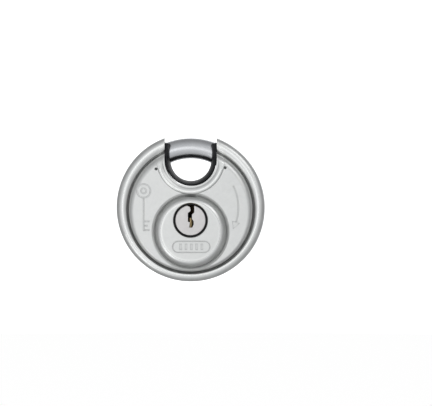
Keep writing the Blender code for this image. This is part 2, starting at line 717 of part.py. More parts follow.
def make_plug(parent, material):
    """The plug, with its keyway, a chamber for each key pin and a tail for the clip and the crank."""
    face = -(SHELL_DEPTH - PLUG_RECESS)
    step = HOUSING_REAR - HOUSING_END_WALL - FITTING_GAP / 2
    clip = HOUSING_REAR + 0.1 * MM
    neck = TAIL_RADIUS - 0.5 * MM
    end = CRANK_REAR + 0.1 * MM
    spigot = TAIL_RADIUS - 0.6 * MM
    plug = make_piece(
        "plug",
        turned(
            [
                (PLUG_RADIUS - 0.15 * MM, face),
                (PLUG_RADIUS, face + 0.15 * MM),
                (PLUG_RADIUS, step),
                (TAIL_RADIUS, step),
                (TAIL_RADIUS, clip),
                (neck, clip),
                (neck, clip + 0.7 * MM),
                (TAIL_RADIUS, clip + 0.7 * MM),
                (TAIL_RADIUS, CRANK_FRONT - 0.1 * MM),
                (spigot, CRANK_FRONT - 0.1 * MM),
                (spigot, end),
            ],
            48,
        ),
        parent,
        material,
    )
    outline = [(x * MM, z * MM) for x, z in KEYWAY]
    keyway = make_piece(
        "plug keyway", plate(outline, -BODY_DEPTH, step - 1.0 * MM), parent
    )
    combine(plug, keyway)
    for number, y in enumerate(pin_depths(), 1):
        profile = [
            (CHAMBER_RADIUS, -PLUG_RADIUS - BEYOND),
            (CHAMBER_RADIUS, CHAMBER_TOP - 0.6 * MM),
            (0.5 * CHAMBER_RADIUS, CHAMBER_TOP),
        ]
        chamber = make_piece(
            f"plug chamber {number}", upright_rod(profile, PIN_STEPS, y), parent
        )
        combine(plug, chamber)
    tapped = make_piece(
        "plug tapped hole",
        rod(0.9 * MM, end - 3.0 * MM, end + BEYOND, PIN_STEPS),
        parent,
    )
    return combine(plug, tapped)


def make_plug_clip(parent, material):
    """The spring clip behind the housing that keeps the plug in."""
    front = HOUSING_REAR + 0.25 * MM
    inside = TAIL_RADIUS - 0.35 * MM
    outside = TAIL_RADIUS + 0.65 * MM
    ring = [
        (inside, front),
        (outside, front),
        (outside, front + 0.4 * MM),
        (inside, front + 0.4 * MM),
    ]
    clip = make_piece("plug_clip", turned(ring, SMALL_STEPS, ring=True), parent, material)
    half = 0.9 * MM
    outline = [(-half, 0.0), (half, 0.0), (half, BEYOND), (-half, BEYOND)]
    gap = make_piece("clip gap", plate(outline, 0.0, BODY_DEPTH), parent)
    return combine(clip, gap)


def crank_direction():
    """The angle of the crank arm at rest, from +X towards +Z."""
    return -math.pi / 2 + PLUG_TRAVEL / 2


def crank_pin_place():
    angle = crank_direction()
    return (CRANK_RADIUS * math.cos(angle), CRANK_RADIUS * math.sin(angle))


def make_crank(parent, material):
    """The arm on the plug's tail, with the holes for the tail and the crank pin."""
    angle = crank_direction()
    hub = TAIL_RADIUS + 0.9 * MM
    tip = CRANK_PIN_RADIUS + 0.8 * MM
    lean = math.acos((hub - tip) / CRANK_RADIUS)
    outline = arc(tip, angle - lean, angle + lean, 12, crank_pin_place())
    outline += arc(hub, angle + lean, angle + math.tau - lean, 24)
    crank = make_piece("crank_arm", plate(outline, CRANK_FRONT, CRANK_REAR), parent, material)
    spigot_hole = make_piece(
        "crank tail hole",
        rod(TAIL_RADIUS - 0.6 * MM + RUNNING_GAP, 0.0, BODY_DEPTH, SMALL_STEPS),
        parent,
    )
    combine(crank, spigot_hole)
    pin_hole = make_piece(
        "crank pin hole",
        rod(CRANK_PIN_RADIUS + RUNNING_GAP, 0.0, BODY_DEPTH, PIN_STEPS, crank_pin_place()),
        parent,
    )
    return combine(crank, pin_hole)


def make_crank_pin(parent, material):
    start, end = CARRIER_FRONT + 0.1 * MM, CRANK_REAR - 0.05 * MM
    pin = rod(CRANK_PIN_RADIUS, start, end, PIN_STEPS, crank_pin_place())
    return make_piece("crank_pin", pin, parent, material)


def make_crank_screw(parent, material):
    """The slotted screw that holds the crank arm on the plug's tail."""
    seat = CRANK_REAR + SCREW_GAP
    head = SCREW_HEAD
    screw = make_piece(
        "crank_screw",
        turned(
            [
                (0.72 * MM, CRANK_REAR - 2.5 * MM),
                (0.72 * MM, seat),
                (2.3 * MM, seat),
                (2.3 * MM, seat + head - 0.2 * MM),
                (2.1 * MM, seat + head),
            ],
            SMALL_STEPS,
        ),
        parent,
        material,
    )
    half = 0.3 * MM
    outline = [(-BEYOND, -half), (BEYOND, -half), (BEYOND, half), (-BEYOND, half)]
    slot = make_piece(
        "screw slot", plate(outline, seat + head - 0.5 * MM, BODY_DEPTH), parent
    )
    return combine(screw, slot)


def make_pins(body_centre, plug_axis, brass, steel):
    """Four pin stacks, each a key pin in the plug over a driver pin and a spring, met at the shear line."""
    shear = PLUG_RADIUS - 0.15 * MM
    driver_top = PLUG_HEIGHT - PLUG_RADIUS - 0.12 * MM
    for number, (y, length) in enumerate(zip(pin_depths(), KEY_PIN_LENGTHS), 1):
        tip = 0.6 * MM
        key_pin = [
            (PIN_RADIUS, -shear),
            (PIN_RADIUS, -shear + length - tip),
            (0.45 * PIN_RADIUS, -shear + length),
        ]
        make_piece(f"key_pin_{number}", upright_rod(key_pin, PIN_STEPS, y), plug_axis, brass)
        foot = driver_top - DRIVER_LENGTH
        waist = 0.75 * PIN_RADIUS
        driver_pin = [
            (PIN_RADIUS, foot),
            (PIN_RADIUS, foot + 0.9 * MM),
            (waist, foot + 1.1 * MM),
            (waist, driver_top - 1.0 * MM),
            (PIN_RADIUS, driver_top - 0.7 * MM),
            (PIN_RADIUS, driver_top),
        ]
        make_piece(f"driver_pin_{number}", upright_rod(driver_pin, PIN_STEPS, y), body_centre, steel)
        make_spring(f"pin_spring_{number}", y, STEM_FOOT, foot - 0.1 * MM, body_centre, steel)


def make_spring(name, y, low, high, parent, material):
    """A coil spring from its wire's lowest point to its highest."""
    points_per_turn = 10
    radius = PIN_RADIUS - SPRING_WIRE / 2
    count = SPRING_TURNS * points_per_turn
    rise = (high - low - SPRING_WIRE - 0.1 * MM) / count
    curve = bpy.data.curves.new(name, "CURVE")
    curve.dimensions = "3D"
    curve.bevel_depth = SPRING_WIRE / 2
    curve.bevel_resolution = 0
    curve.use_fill_caps = True
    wire = curve.splines.new("POLY")
    wire.points.add(count)
    for step, point in enumerate(wire.points):
        angle = math.tau * step / points_per_turn
        height = low + SPRING_WIRE / 2 + 0.05 * MM + rise * step
        point.co = (radius * math.cos(angle), y + radius * math.sin(angle), height, 1.0)
    spring = bpy.data.objects.new(name, curve)
    bpy.context.scene.collection.objects.link(spring)
    spring.parent = parent
    curve.materials.append(material)
    return spring


def build():
    clear_scene()
    stainless = make_material("stainless_steel", (0.72, 0.73, 0.72), 0.32)
    hardened = make_material("hardened_steel", (0.66, 0.67, 0.68), 0.22)
    plastic = make_material("black_plastic", (0.015, 0.016, 0.018), 0.4, 0.0)
    zinc = make_material("zinc_casting", (0.55, 0.56, 0.58), 0.55)
    brass = make_material("brass", (0.78, 0.6, 0.3), 0.35)
    nickel = make_material("nickel_plate", (0.78, 0.76, 0.73), 0.25)

    body_centre = make_axis("body centre", None, (0.0, 0.0, -SEAT_HEIGHT))
    plug_axis = make_axis("plug axis", body_centre, (0.0, 0.0, PLUG_HEIGHT))

    front = make_shell("front_shell", -1, body_centre, stainless)
    face_hole = make_piece(
        "front shell face hole",
        rod(PLUG_RADIUS + FACE_HOLE_GAP, -BODY_DEPTH, 0.0, 48, (0.0, PLUG_HEIGHT)),
        body_centre,
    )
    combine(front, face_hole)
    make_shell("rear_shell", 1, body_centre, stainless)
    make_liner(body_centre, plastic)
    make_core(body_centre, zinc)
    make_anti_drill_plate(body_centre, hardened)
    make_face_seal(body_centre, plastic)
    make_housing(body_centre, brass)
    make_chamber_cover(body_centre, brass)
    make_plug(plug_axis, nickel)
    make_plug_clip(plug_axis, hardened)
    make_crank(plug_axis, hardened)
    make_crank_pin(plug_axis, hardened)
    make_crank_screw(plug_axis, hardened)
    make_pins(body_centre, plug_axis, brass, hardened)
    make_shackle(body_centre, hardened)
    make_carrier(body_centre, hardened)
    make_dowels(body_centre, hardened)


build()
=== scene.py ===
import math

import bmesh
import bpy
from mathutils import Matrix, Vector


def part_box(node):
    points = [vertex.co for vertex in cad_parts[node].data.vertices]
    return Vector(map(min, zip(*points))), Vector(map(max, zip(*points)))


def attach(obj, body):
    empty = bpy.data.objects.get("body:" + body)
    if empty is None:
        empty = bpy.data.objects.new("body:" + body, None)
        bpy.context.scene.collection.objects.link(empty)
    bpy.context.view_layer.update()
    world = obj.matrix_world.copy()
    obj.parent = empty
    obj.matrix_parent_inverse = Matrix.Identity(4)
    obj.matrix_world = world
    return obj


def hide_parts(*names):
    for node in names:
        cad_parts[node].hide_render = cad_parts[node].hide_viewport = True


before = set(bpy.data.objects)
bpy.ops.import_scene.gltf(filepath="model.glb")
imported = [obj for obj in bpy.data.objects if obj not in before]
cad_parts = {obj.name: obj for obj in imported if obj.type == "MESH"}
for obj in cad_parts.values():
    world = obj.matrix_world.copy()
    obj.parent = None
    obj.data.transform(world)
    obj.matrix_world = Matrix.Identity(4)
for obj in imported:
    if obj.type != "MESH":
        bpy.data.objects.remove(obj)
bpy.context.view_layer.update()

# ---------------------------------------------------------------------------------------------
# The two shells. Each is a cup deep-drawn from 1.2 mm stainless sheet: a rolled rim, a ring
# groove, a flat face with a round boss, and a half-round throat with a rolled bead. They are
# welded together round the rim and blasted to a satin finish.
# ---------------------------------------------------------------------------------------------
MM = 0.001
shell_low, shell_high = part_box("front_shell")
body_radius = (shell_high.x - shell_low.x) / 2 / MM
axis_height = shell_low.z / MM + body_radius  # of the axis that the shackle turns about
boss_face = -shell_low.y / MM

sheet = 1.2
face_depth = 7.4
face_radius, face_drop = 18.9, -1.6
groove_radius, groove_drop, groove_depth = 21.1, -0.75, 4.8
crown_radius, crown_depth, rim_round = 22.7, 6.3, 2.15
boss_radius, boss_drop = 12.05, -8.0
boss_top_radius, boss_edge_width, boss_edge_drop = 11.3, 1.9, 1.3
throat_half, throat_floor = 8.7, 7.05
throat_rise = throat_floor + throat_half  # of the middle of the half-round
bead_crest, bead_edge, bead_rise = 1.9, 2.75, 0.45
plug_drop, plug_hole = -4.27, 5.7
bar_radius, bar_play = 3.5, 0.35
track_radius = round(body_radius, 3) - sheet - bar_play - bar_radius  # that the bar is bent to
tunnel_radius = bar_radius + 0.3
above_body, past_body = 30.0, 21.0  # how far a cut reaches up and to each side


def ring_points(centre, radius, depth, count):
    """Points round a line along y that stands that far above the shackle's axis."""
    return [
        (
            radius * math.cos(math.tau * n / count),
            depth,
            centre + radius * math.sin(math.tau * n / count),
        )
        for n in range(count)
    ]


def skin_over(rows, capped=True, looped=False):
    """A surface over rows of points that each close on themselves."""
    working = bmesh.new()
    lines = [[working.verts.new(p) for p in row] for row in rows]
    pairs = list(zip(lines, lines[1:]))
    if looped:
        pairs.append((lines[-1], lines[0]))
    for one, two in pairs:
        for n in range(len(one)):
            m = (n + 1) % len(one)
            working.faces.new((one[n], one[m], two[m], two[n]))
    if capped and not looped:
        working.faces.new(lines[0])
        working.faces.new(lines[-1])
    return working


def turned(profile, count, centre=(0.0, 0.0)):
    """A solid turned about a line through centre, from (radius, depth) points, with flat ends."""
    working = skin_over([ring_points(0.0, r, y, count) for r, y in profile])
    bmesh.ops.translate(working, verts=working.verts, vec=(centre[0], 0.0, centre[1]))
    return working


def slab(outline, start, end):
    """A flat shape of (x, z) points with thickness from start to end."""
    return skin_over([[(x, y, z) for x, z in outline] for y in (start, end)])


def arc(radius, start, end, steps, centre=(0.0, 0.0)):
    """Points (x, z) on a round stretch between two angles."""
    angles = [start + (end - start) * n / steps for n in range(steps + 1)]
    return [(centre[0] + radius * math.cos(a), centre[1] + radius * math.sin(a)) for a in angles]


def blank(name, working):
    """An object in the workshop's millimetres, before it is placed."""
    bmesh.ops.remove_doubles(working, verts=working.verts, dist=1e-5)
    bmesh.ops.recalc_face_normals(working, faces=working.faces)
    mesh = bpy.data.meshes.new(name)
    working.to_mesh(mesh)
    working.free()
    piece = bpy.data.objects.new(name, mesh)
    bpy.context.scene.collection.objects.link(piece)
    return piece


def carve(piece, tool, how="DIFFERENCE"):
    """Cuts the tool out of the piece, or welds it on, and throws the tool away."""
    change = piece.modifiers.new("carve", "BOOLEAN")
    change.solver = "EXACT"
    change.operation = how
    change.object = tool
    bpy.context.view_layer.update()
    seen = piece.evaluated_get(bpy.context.evaluated_depsgraph_get())
    shaped = bpy.data.meshes.new_from_object(seen)
    piece.modifiers.clear()
    piece.data = shaped
    bpy.data.objects.remove(tool)
    return piece


def place(piece, material, body, nodes, sharp=32):
    """Takes a finished blank to its place in the lock and gives it its finish."""
    shift = Matrix.Translation((0.0, 0.0, axis_height * MM))
    piece.data.transform(shift @ Matrix.Scale(MM, 4))
    piece.data.materials.clear()
    piece.data.materials.append(material)
    piece.data.shade_smooth()
    piece.data.set_sharp_from_angle(angle=math.radians(sharp))
    even = piece.modifiers.new("even shading", "WEIGHTED_NORMAL")
    even.keep_sharp = True
    even.weight = 80
    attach(piece, body)
    if nodes:
        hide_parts(*nodes)
    return piece


def shoulder(turn, inset=0.0):
    """A ring of the rounded shoulder from the face's edge (0) to the groove (90 degrees)."""
    share, level = math.sin(math.radians(turn)), math.cos(math.radians(turn))
    width, height = groove_radius - 0.2 - face_radius, face_depth - groove_depth
    lean = math.atan2(share / width, level / height)
    return (
        face_drop + (groove_drop - face_drop) * share,
        face_radius + width * share - inset * math.sin(lean),
        groove_depth + height * level - inset * math.cos(lean),
    )


def outer_skin():
    """Rings (centre, radius, depth) of a shell's outside, from the face over the rim to the joint."""
    rings = [shoulder(turn) for turn in (0, 4, 9, *range(15, 76, 5))]
    rise = crown_depth - groove_depth
    rings += [(groove_drop, groove_radius - 0.2, groove_depth + 0.42)]
    rings += [(groove_drop, groove_radius - 0.02, groove_depth + 0.14)]
    rings += [(groove_drop, groove_radius + 0.14, groove_depth + 0.04)]
    for turn in (12, 24, 36, 48, 60, 70, 80):
        bend = math.radians(turn)
        out = crown_radius - (crown_radius - groove_radius - 0.14) * math.cos(bend) ** 0.78
        rings.append((groove_drop * math.cos(bend), out, groove_depth + rise * math.sin(bend) ** 0.85))
    for turn in range(0, 81, 5):
        bend = math.radians(turn)
        depth = crown_depth - rim_round * (1 - math.cos(bend))
        rings.append((0.0, crown_radius + rim_round * math.sin(bend), depth))
    side_depth = crown_depth - rim_round
    rings += [(0.0, body_radius - 0.1, 0.75 * side_depth), (0.0, body_radius - 0.03, 0.3 * side_depth)]
    rings += [(0.0, body_radius - 0.03, 0.3), (0.0, body_radius - 0.1, 0.12)]
    return rings + [(0.0, body_radius - 0.22, 0.03)]


def inner_skin():
    """The same rings of its inside, a sheet's thickness lower."""
    edge = body_radius - sheet
    rings = [shoulder(turn, sheet) for turn in (0, 20, 40, 65)]
    rings += [
        (groove_drop, groove_radius - 0.2, groove_depth - sheet),
        (groove_drop, groove_radius + 0.4, groove_depth - sheet),
        (0.0, crown_radius - 0.2, crown_depth - 1.2 * sheet),
        (0.0, crown_radius + 0.3, crown_depth - 1.05 * sheet),
        (0.0, edge - 0.3, crown_depth - 1.5 * sheet),
        (0.0, edge, crown_depth - rim_round - 0.7),
    ]
    return rings + [(0.0, edge, 0.5), (0.0, edge, -5.0)]


def lofted(rings, side, count):
    """A solid through such rings, facing the front (side -1) or the rear (side 1)."""
    return skin_over([ring_points(c, r, side * d, count) for c, r, d in rings])


def along_throat(section, top, steps):
    """A (distance from the throat's middle, depth) section taken down one side and up the other."""
    turns = [math.pi + math.pi * n / steps for n in range(steps + 1)]
    stations = [(math.pi, top)] + [(t, throat_rise) for t in turns] + [(math.tau, top)]
    rows = [
        [(out * math.cos(t), y, height + out * math.sin(t)) for out, y in section]
        for t, height in stations
    ]
    return skin_over(rows)


def throat_block(half, steps=64):
    """The solid that cuts a throat of that half width right through the body."""
    floor = arc(half, math.pi, math.tau, steps, (0.0, throat_rise))
    return slab([(-half, above_body), *floor, (half, above_body)], -past_body, past_body)


def bent_bar(stations, around):
    """A round bar bent to the shackle's track, through (angle in degrees, radius) stations."""
    rows = []
    for angle, radius in stations:
        turn = math.radians(angle)
        row = []
        for n in range(around):
            roll = math.tau * (n + 0.5) / around
            out = track_radius + radius * math.cos(roll)
            row.append((out * math.cos(turn), radius * math.sin(roll), out * math.sin(turn)))
        rows.append(row)
    return skin_over(rows)


def boss_skin(inset, foot):
    """A (radius, depth) profile of the boss: its rounded edge, its sloping wall, down to foot."""
    radius, top = boss_top_radius - inset, boss_face - inset
    wall = boss_face - boss_edge_drop - face_depth + 0.5
    profile = []
    for turn in range(0, 91, 5):
        bend = math.radians(turn)
        out = radius - boss_edge_width + boss_edge_width * math.sin(bend)
        profile.append((out, top - boss_edge_drop + boss_edge_drop * math.cos(bend)))
    for share in (0.5, 0.8, 0.93):
        out = radius + (boss_radius - boss_top_radius) * share ** 1.6
        profile.append((out, top - boss_edge_drop - wall * share))
    return profile + [(boss_radius - inset, face_depth - 0.5), (boss_radius - inset, foot)]


def both_ways(profile, side):
    """The profile for the front shell (side -1) or the rear shell (side 1)."""
    return [(out, side * depth) for out, depth in profile]


def draw_shell(name, side):
    """One shell. The front is at side -1, the rear at side 1."""
    shell = blank(name, lofted(outer_skin(), side, 240))
    gutter = [
        (boss_radius - 0.6, face_depth - 0.95),
        (boss_radius + 0.18, face_depth - 0.95),
        (boss_radius + 0.3, face_depth - 0.46),
        (boss_radius + 0.5, face_depth - 0.36),
        (boss_radius + 0.8, face_depth - 0.14),
        (boss_radius + 1.1, face_depth + 0.02),
        (boss_radius + 1.1, face_depth + 3.0),
        (boss_radius - 0.6, face_depth + 3.0),
    ]
    rows = [ring_points(boss_drop, r, side * d, 236) for r, d in gutter]
    carve(shell, blank("gutter", skin_over(rows, looped=True)))
    boss = both_ways(boss_skin(0.0, face_depth - 3.0), side)
    carve(shell, blank("boss", turned(boss, 200, (0.0, boss_drop))), "UNION")

    crest = face_depth + bead_rise
    middle = throat_half + bead_crest
    section = [(throat_half - 0.6, 2.0), (throat_half - 0.6, crest - 2.2)]
    for turn in range(-78, 1, 6):
        bend = math.radians(turn)
        out = middle + (bead_crest + 0.2) * math.sin(bend)
        section.append((out, crest - bead_crest * (1 - math.cos(bend))))
    section += [
        (middle + 0.3, crest - 0.03),
        (middle + 0.5, crest - 0.12),
        (middle + 0.68, crest - 0.27),
        (throat_half + bead_edge, face_depth - 0.1),
        (throat_half + bead_edge, 2.0),
    ]
    bead = blank("bead", along_throat(both_ways(section, side), above_body + 1.0, 101))
    limit = [
        (face_drop, face_radius - 2.6, crest + 0.1),
        (face_drop, face_radius - 1.7, crest + 0.02),
        (face_drop, face_radius - 1.0, crest - 0.1),
        (face_drop, face_radius - 0.4, crest - 0.26),
    ]
    for turn in (12, 22, 32, 42):
        height, radius, depth = shoulder(turn)
        limit.append((height, radius, depth + 0.16 - 0.005 * turn))
    height, radius, depth = shoulder(48)
    limit += [(height, radius, depth - 0.1), (height, radius, 1.0)]
    carve(bead, blank("limit", lofted(limit, side, 228)), "INTERSECT")
    carve(shell, bead, "UNION")

    hollow = blank("hollow", lofted(inner_skin(), side, 120))
    boss_hollow = both_ways(boss_skin(sheet, face_depth - sheet - 2.0), side)
    carve(hollow, blank("boss hollow", turned(boss_hollow, 100, (0.0, boss_drop))), "UNION")
    carve(hollow, blank("throat wall", throat_block(throat_half + sheet)))
    tunnel = [(angle, tunnel_radius) for angle in range(40, 141, 4)]
    carve(hollow, blank("tunnel", bent_bar(tunnel, 64)), "UNION")
    carve(shell, hollow)
    carve(shell, blank("throat", throat_block(throat_half, 90)))
    return shell


def new_material(name, colour, metallic, roughness):
    """A new material, its node tree and its Principled shader."""
    material = bpy.data.materials.new(name)
    material.use_nodes = True
    tree = material.node_tree
    shader = tree.nodes["Principled BSDF"]
    shader.inputs["Base Color"].default_value = (*colour, 1.0)
    shader.inputs["Metallic"].default_value = metallic
    shader.inputs["Roughness"].default_value = roughness
    return material, tree, shader


def add(tree, kind, **values):
    """A node with the given settings: a name with an underscore before it is an input socket."""
    node = tree.nodes.new(kind)
    for key, value in values.items():
        if key.startswith("_"):
            node.inputs[key[1:].replace("_", " ")].default_value = value
        else:
            setattr(node, key, value)
    return node


def start_group(name, inputs, outputs):
    """A node group, with its own input and output nodes."""
    tree = bpy.data.node_groups.new(name, "ShaderNodeTree")
    for label, kind, value in inputs:
        made = tree.interface.new_socket(label, in_out="INPUT", socket_type=kind)
        if value is not None:
            made.default_value = value
    for label, kind in outputs:
        tree.interface.new_socket(label, in_out="OUTPUT", socket_type=kind)
    return tree, tree.nodes.new("NodeGroupInput"), tree.nodes.new("NodeGroupOutput")


def use_group(tree, group, **values):
    """A node that runs the group, with values for its inputs."""
    node = tree.nodes.new("ShaderNodeGroup")
    node.node_tree = group
    for key, value in values.items():
        node.inputs[key.replace("_", " ")].default_value = value
    return node


FLOAT, VECTOR = "NodeSocketFloat", "NodeSocketVector"

# Blasted metal: a fine pitted grain over slow clouds where the blasting was lighter.
grain, into, out = start_group(
    "blasted grain",
    [("Grain Scale", FLOAT, 4000.0), ("Cloud Scale", FLOAT, 220.0)],
    [("Height", FLOAT), ("Clouds", FLOAT), ("Speckle", FLOAT)],
)
spot = grain.nodes.new("ShaderNodeTexCoord")
fine = add(grain, "ShaderNodeTexNoise", _Detail=3.0, _Roughness=0.6)
pits = add(grain, "ShaderNodeTexVoronoi", feature="SMOOTH_F1", _Smoothness=0.6)
clouds = add(grain, "ShaderNodeTexNoise", _Detail=4.0, _Roughness=0.55, _Distortion=0.6)
mixed = add(grain, "ShaderNodeMath", operation="MULTIPLY_ADD")
mixed.inputs[1].default_value = 0.6
for node in (fine, pits):
    grain.links.new(into.outputs["Grain Scale"], node.inputs["Scale"])
grain.links.new(into.outputs["Cloud Scale"], clouds.inputs["Scale"])
for node in (fine, pits, clouds):
    grain.links.new(spot.outputs["Object"], node.inputs["Vector"])
grain.links.new(pits.outputs["Distance"], mixed.inputs[0])
grain.links.new(fine.outputs["Fac"], mixed.inputs[2])
grain.links.new(mixed.outputs[0], out.inputs["Height"])
grain.links.new(clouds.outputs["Fac"], out.inputs["Clouds"])
grain.links.new(fine.outputs["Fac"], out.inputs["Speckle"])

# Edge wear: the bevelled normal leaves the true one at an edge, and there the grain is rubbed off.
wear, into, out = start_group(
    "edge wear",
    [("Width", FLOAT, 0.0002), ("Amount", FLOAT, 1.0), ("Breakup Scale", FLOAT, 900.0)],
    [("Mask", FLOAT), ("Soft Normal", VECTOR)],
)
rounded = add(wear, "ShaderNodeBevel", samples=4)
true = wear.nodes.new("ShaderNodeNewGeometry")
spot = wear.nodes.new("ShaderNodeTexCoord")
dot = add(wear, "ShaderNodeVectorMath", operation="DOT_PRODUCT")
lift = add(wear, "ShaderNodeMapRange", _From_Min=0.995, _From_Max=0.9)
patchy = add(wear, "ShaderNodeTexNoise", _Detail=3.0)
patches = add(wear, "ShaderNodeMapRange", _From_Min=0.3, _From_Max=0.6, _To_Min=0.35)
both = add(wear, "ShaderNodeMath", operation="MULTIPLY")
scaled = add(wear, "ShaderNodeMath", operation="MULTIPLY", use_clamp=True)
wear.links.new(into.outputs["Width"], rounded.inputs["Radius"])
wear.links.new(rounded.outputs["Normal"], dot.inputs[0])
wear.links.new(true.outputs["True Normal"], dot.inputs[1])
wear.links.new(dot.outputs["Value"], lift.inputs["Value"])
wear.links.new(into.outputs["Breakup Scale"], patchy.inputs["Scale"])
wear.links.new(spot.outputs["Object"], patchy.inputs["Vector"])
wear.links.new(patchy.outputs["Fac"], patches.inputs["Value"])
wear.links.new(lift.outputs["Result"], both.inputs[0])
wear.links.new(patches.outputs["Result"], both.inputs[1])
wear.links.new(both.outputs[0], scaled.inputs[0])
wear.links.new(into.outputs["Amount"], scaled.inputs[1])
wear.links.new(scaled.outputs[0], out.inputs["Mask"])
wear.links.new(rounded.outputs["Normal"], out.inputs["Soft Normal"])

# Painted shade and dust in corners: a mask of where the surface is closed in by its neighbours. The
# metals darken their colour there as painted shade; the plastics pale it there as dust.
corners, into, out = start_group(
    "painted shade and dust in corners", [("Reach", FLOAT, 0.0008), ("Amount", FLOAT, 1.0)], [("Mask", FLOAT)]
)
closed = add(corners, "ShaderNodeAmbientOcclusion", samples=6)
spread = add(corners, "ShaderNodeMapRange", _From_Min=0.85, _From_Max=0.3)
amount = add(corners, "ShaderNodeMath", operation="MULTIPLY", use_clamp=True)
corners.links.new(into.outputs["Reach"], closed.inputs["Distance"])
corners.links.new(closed.outputs["AO"], spread.inputs["Value"])
corners.links.new(spread.outputs["Result"], amount.inputs[0])
corners.links.new(into.outputs["Amount"], amount.inputs[1])
corners.links.new(amount.outputs[0], out.inputs["Mask"])

# Rubbed ring: a round crest that hands and pockets polish, given by its middle and its radius.
rubbed_ring, into, out = start_group(
    "rubbed ring",
    [("Centre Height", FLOAT, 0.0), ("Radius", FLOAT, 0.02), ("Width", FLOAT, 0.001)],
    [("Mask", FLOAT)],
)
spot = rubbed_ring.nodes.new("ShaderNodeTexCoord")
apart = rubbed_ring.nodes.new("ShaderNodeSeparateXYZ")
lower = add(rubbed_ring, "ShaderNodeMath", operation="SUBTRACT")
flat = rubbed_ring.nodes.new("ShaderNodeCombineXYZ")
out_from_middle = add(rubbed_ring, "ShaderNodeVectorMath", operation="LENGTH")
off_ring = add(rubbed_ring, "ShaderNodeMath", operation="SUBTRACT")
off_crest = add(rubbed_ring, "ShaderNodeMath", operation="ABSOLUTE")
share_of_width = add(rubbed_ring, "ShaderNodeMath", operation="DIVIDE")
fade = add(rubbed_ring, "ShaderNodeMapRange", interpolation_type="SMOOTHSTEP", _To_Min=1.0, _To_Max=0.0)
rubbed_ring.links.new(spot.outputs["Object"], apart.inputs[0])
rubbed_ring.links.new(apart.outputs["Z"], lower.inputs[0])
rubbed_ring.links.new(into.outputs["Centre Height"], lower.inputs[1])
rubbed_ring.links.new(apart.outputs["X"], flat.inputs["X"])
rubbed_ring.links.new(lower.outputs[0], flat.inputs["Z"])
rubbed_ring.links.new(flat.outputs[0], out_from_middle.inputs[0])
rubbed_ring.links.new(out_from_middle.outputs["Value"], off_ring.inputs[0])
rubbed_ring.links.new(into.outputs["Radius"], off_ring.inputs[1])
rubbed_ring.links.new(off_ring.outputs[0], off_crest.inputs[0])
rubbed_ring.links.new(off_crest.outputs[0], share_of_width.inputs[0])
rubbed_ring.links.new(into.outputs["Width"], share_of_width.inputs[1])
rubbed_ring.links.new(share_of_width.outputs[0], fade.inputs["Value"])
rubbed_ring.links.new(fade.outputs["Result"], out.inputs["Mask"])


def finish_metal(
    name,
    bright,
    dull,
    corner_shade_colour,
    roughness,
    depth,
    grain_scale,
    reach=0.0008,
    shade_amount=1.0,
    worn=0.6,
    crests=(),
):
    """A metal with grain, worn edges and painted shade darkening its corners. Roughness is (worn, even,
    clouded).
    """
    material, tree, shader = new_material(name, dull, 1.0, roughness[1])
    grained = use_group(tree, grain, Grain_Scale=grain_scale, Cloud_Scale=grain_scale / 16)
    edges = use_group(tree, wear, Width=0.00012, Amount=worn)
    shade_mask = use_group(tree, corners, Reach=reach, Amount=shade_amount)
    tone = add(tree, "ShaderNodeMix", data_type="RGBA")
    tone.inputs[6].default_value = (*dull, 1.0)
    tone.inputs[7].default_value = (*bright, 1.0)
    edge_tone = add(tree, "ShaderNodeMix", data_type="RGBA")
    edge_tone.inputs[7].default_value = (*[min(1.0, c * 1.06) for c in bright], 1.0)
    # Painted shade: where the surface is closed in, in corners and grooves, the colour is darkened
    # towards the corner colour.
    shaded_tone = add(tree, "ShaderNodeMix", data_type="RGBA")
    shaded_tone.inputs[7].default_value = (*corner_shade_colour, 1.0)
    rough = add(tree, "ShaderNodeMapRange", _From_Min=0.3, _From_Max=0.7)
    rough.inputs["To Min"].default_value = roughness[1]
    rough.inputs["To Max"].default_value = roughness[2]
    rubbed_rough = add(tree, "ShaderNodeMix", data_type="FLOAT")
    rubbed_rough.inputs[3].default_value = roughness[0]
    bump = add(tree, "ShaderNodeBump", _Strength=1.0, _Distance=depth)
    link = tree.links.new
    worn_mask = edges.outputs["Mask"]
    for height, radius, width in crests:
        ring = use_group(tree, rubbed_ring, Centre_Height=height, Radius=radius, Width=width)
        most = add(tree, "ShaderNodeMath", operation="MAXIMUM")
        link(worn_mask, most.inputs[0])
        link(ring.outputs["Mask"], most.inputs[1])
        worn_mask = most.outputs[0]
    link(grained.outputs["Clouds"], tone.inputs[0])
    link(tone.outputs[2], edge_tone.inputs[6])
    link(worn_mask, edge_tone.inputs[0])
    link(edge_tone.outputs[2], shaded_tone.inputs[6])
    link(shade_mask.outputs["Mask"], shaded_tone.inputs[0])
    link(shaded_tone.outputs[2], shader.inputs["Base Color"])
    link(grained.outputs["Clouds"], rough.inputs["Value"])
    link(rough.outputs["Result"], rubbed_rough.inputs[2])
    link(worn_mask, rubbed_rough.inputs[0])
    link(rubbed_rough.outputs[0], shader.inputs["Roughness"])
    link(grained.outputs["Height"], bump.inputs["Height"])
    link(edges.outputs["Soft Normal"], bump.inputs["Normal"])
    link(bump.outputs["Normal"], shader.inputs["Normal"])
    return material


satin_steel = finish_metal(
    "satin stainless steel",
    bright=(0.82, 0.825, 0.81),
    dull=(0.66, 0.665, 0.655),
    # The colour of the painted shade in corners and in the ring groove.
    corner_shade_colour=(0.17, 0.172, 0.176),
    roughness=(0.27, 0.32, 0.38),
    depth=0.000012,
    grain_scale=5200.0,
    reach=0.0012,
    shade_amount=0.46,
    crests=[
        (axis_height * MM, (crown_radius + 0.1) * MM, 1.2 * MM),
        ((axis_height + throat_rise) * MM, (throat_half + bead_crest) * MM, 1.2 * MM),
        ((axis_height + boss_drop) * MM, (boss_top_radius - 1.4) * MM, 0.9 * MM),
    ],
)

front = draw_shell("shell_front", -1)

# Marks stamped 0.28 mm deep: a key on the left, a turning arrow on the right and a framed row of
# bars on the boss. A pointed punch mark stands at each end of the bead.
stamp_depth, line_width = 0.28, 0.5


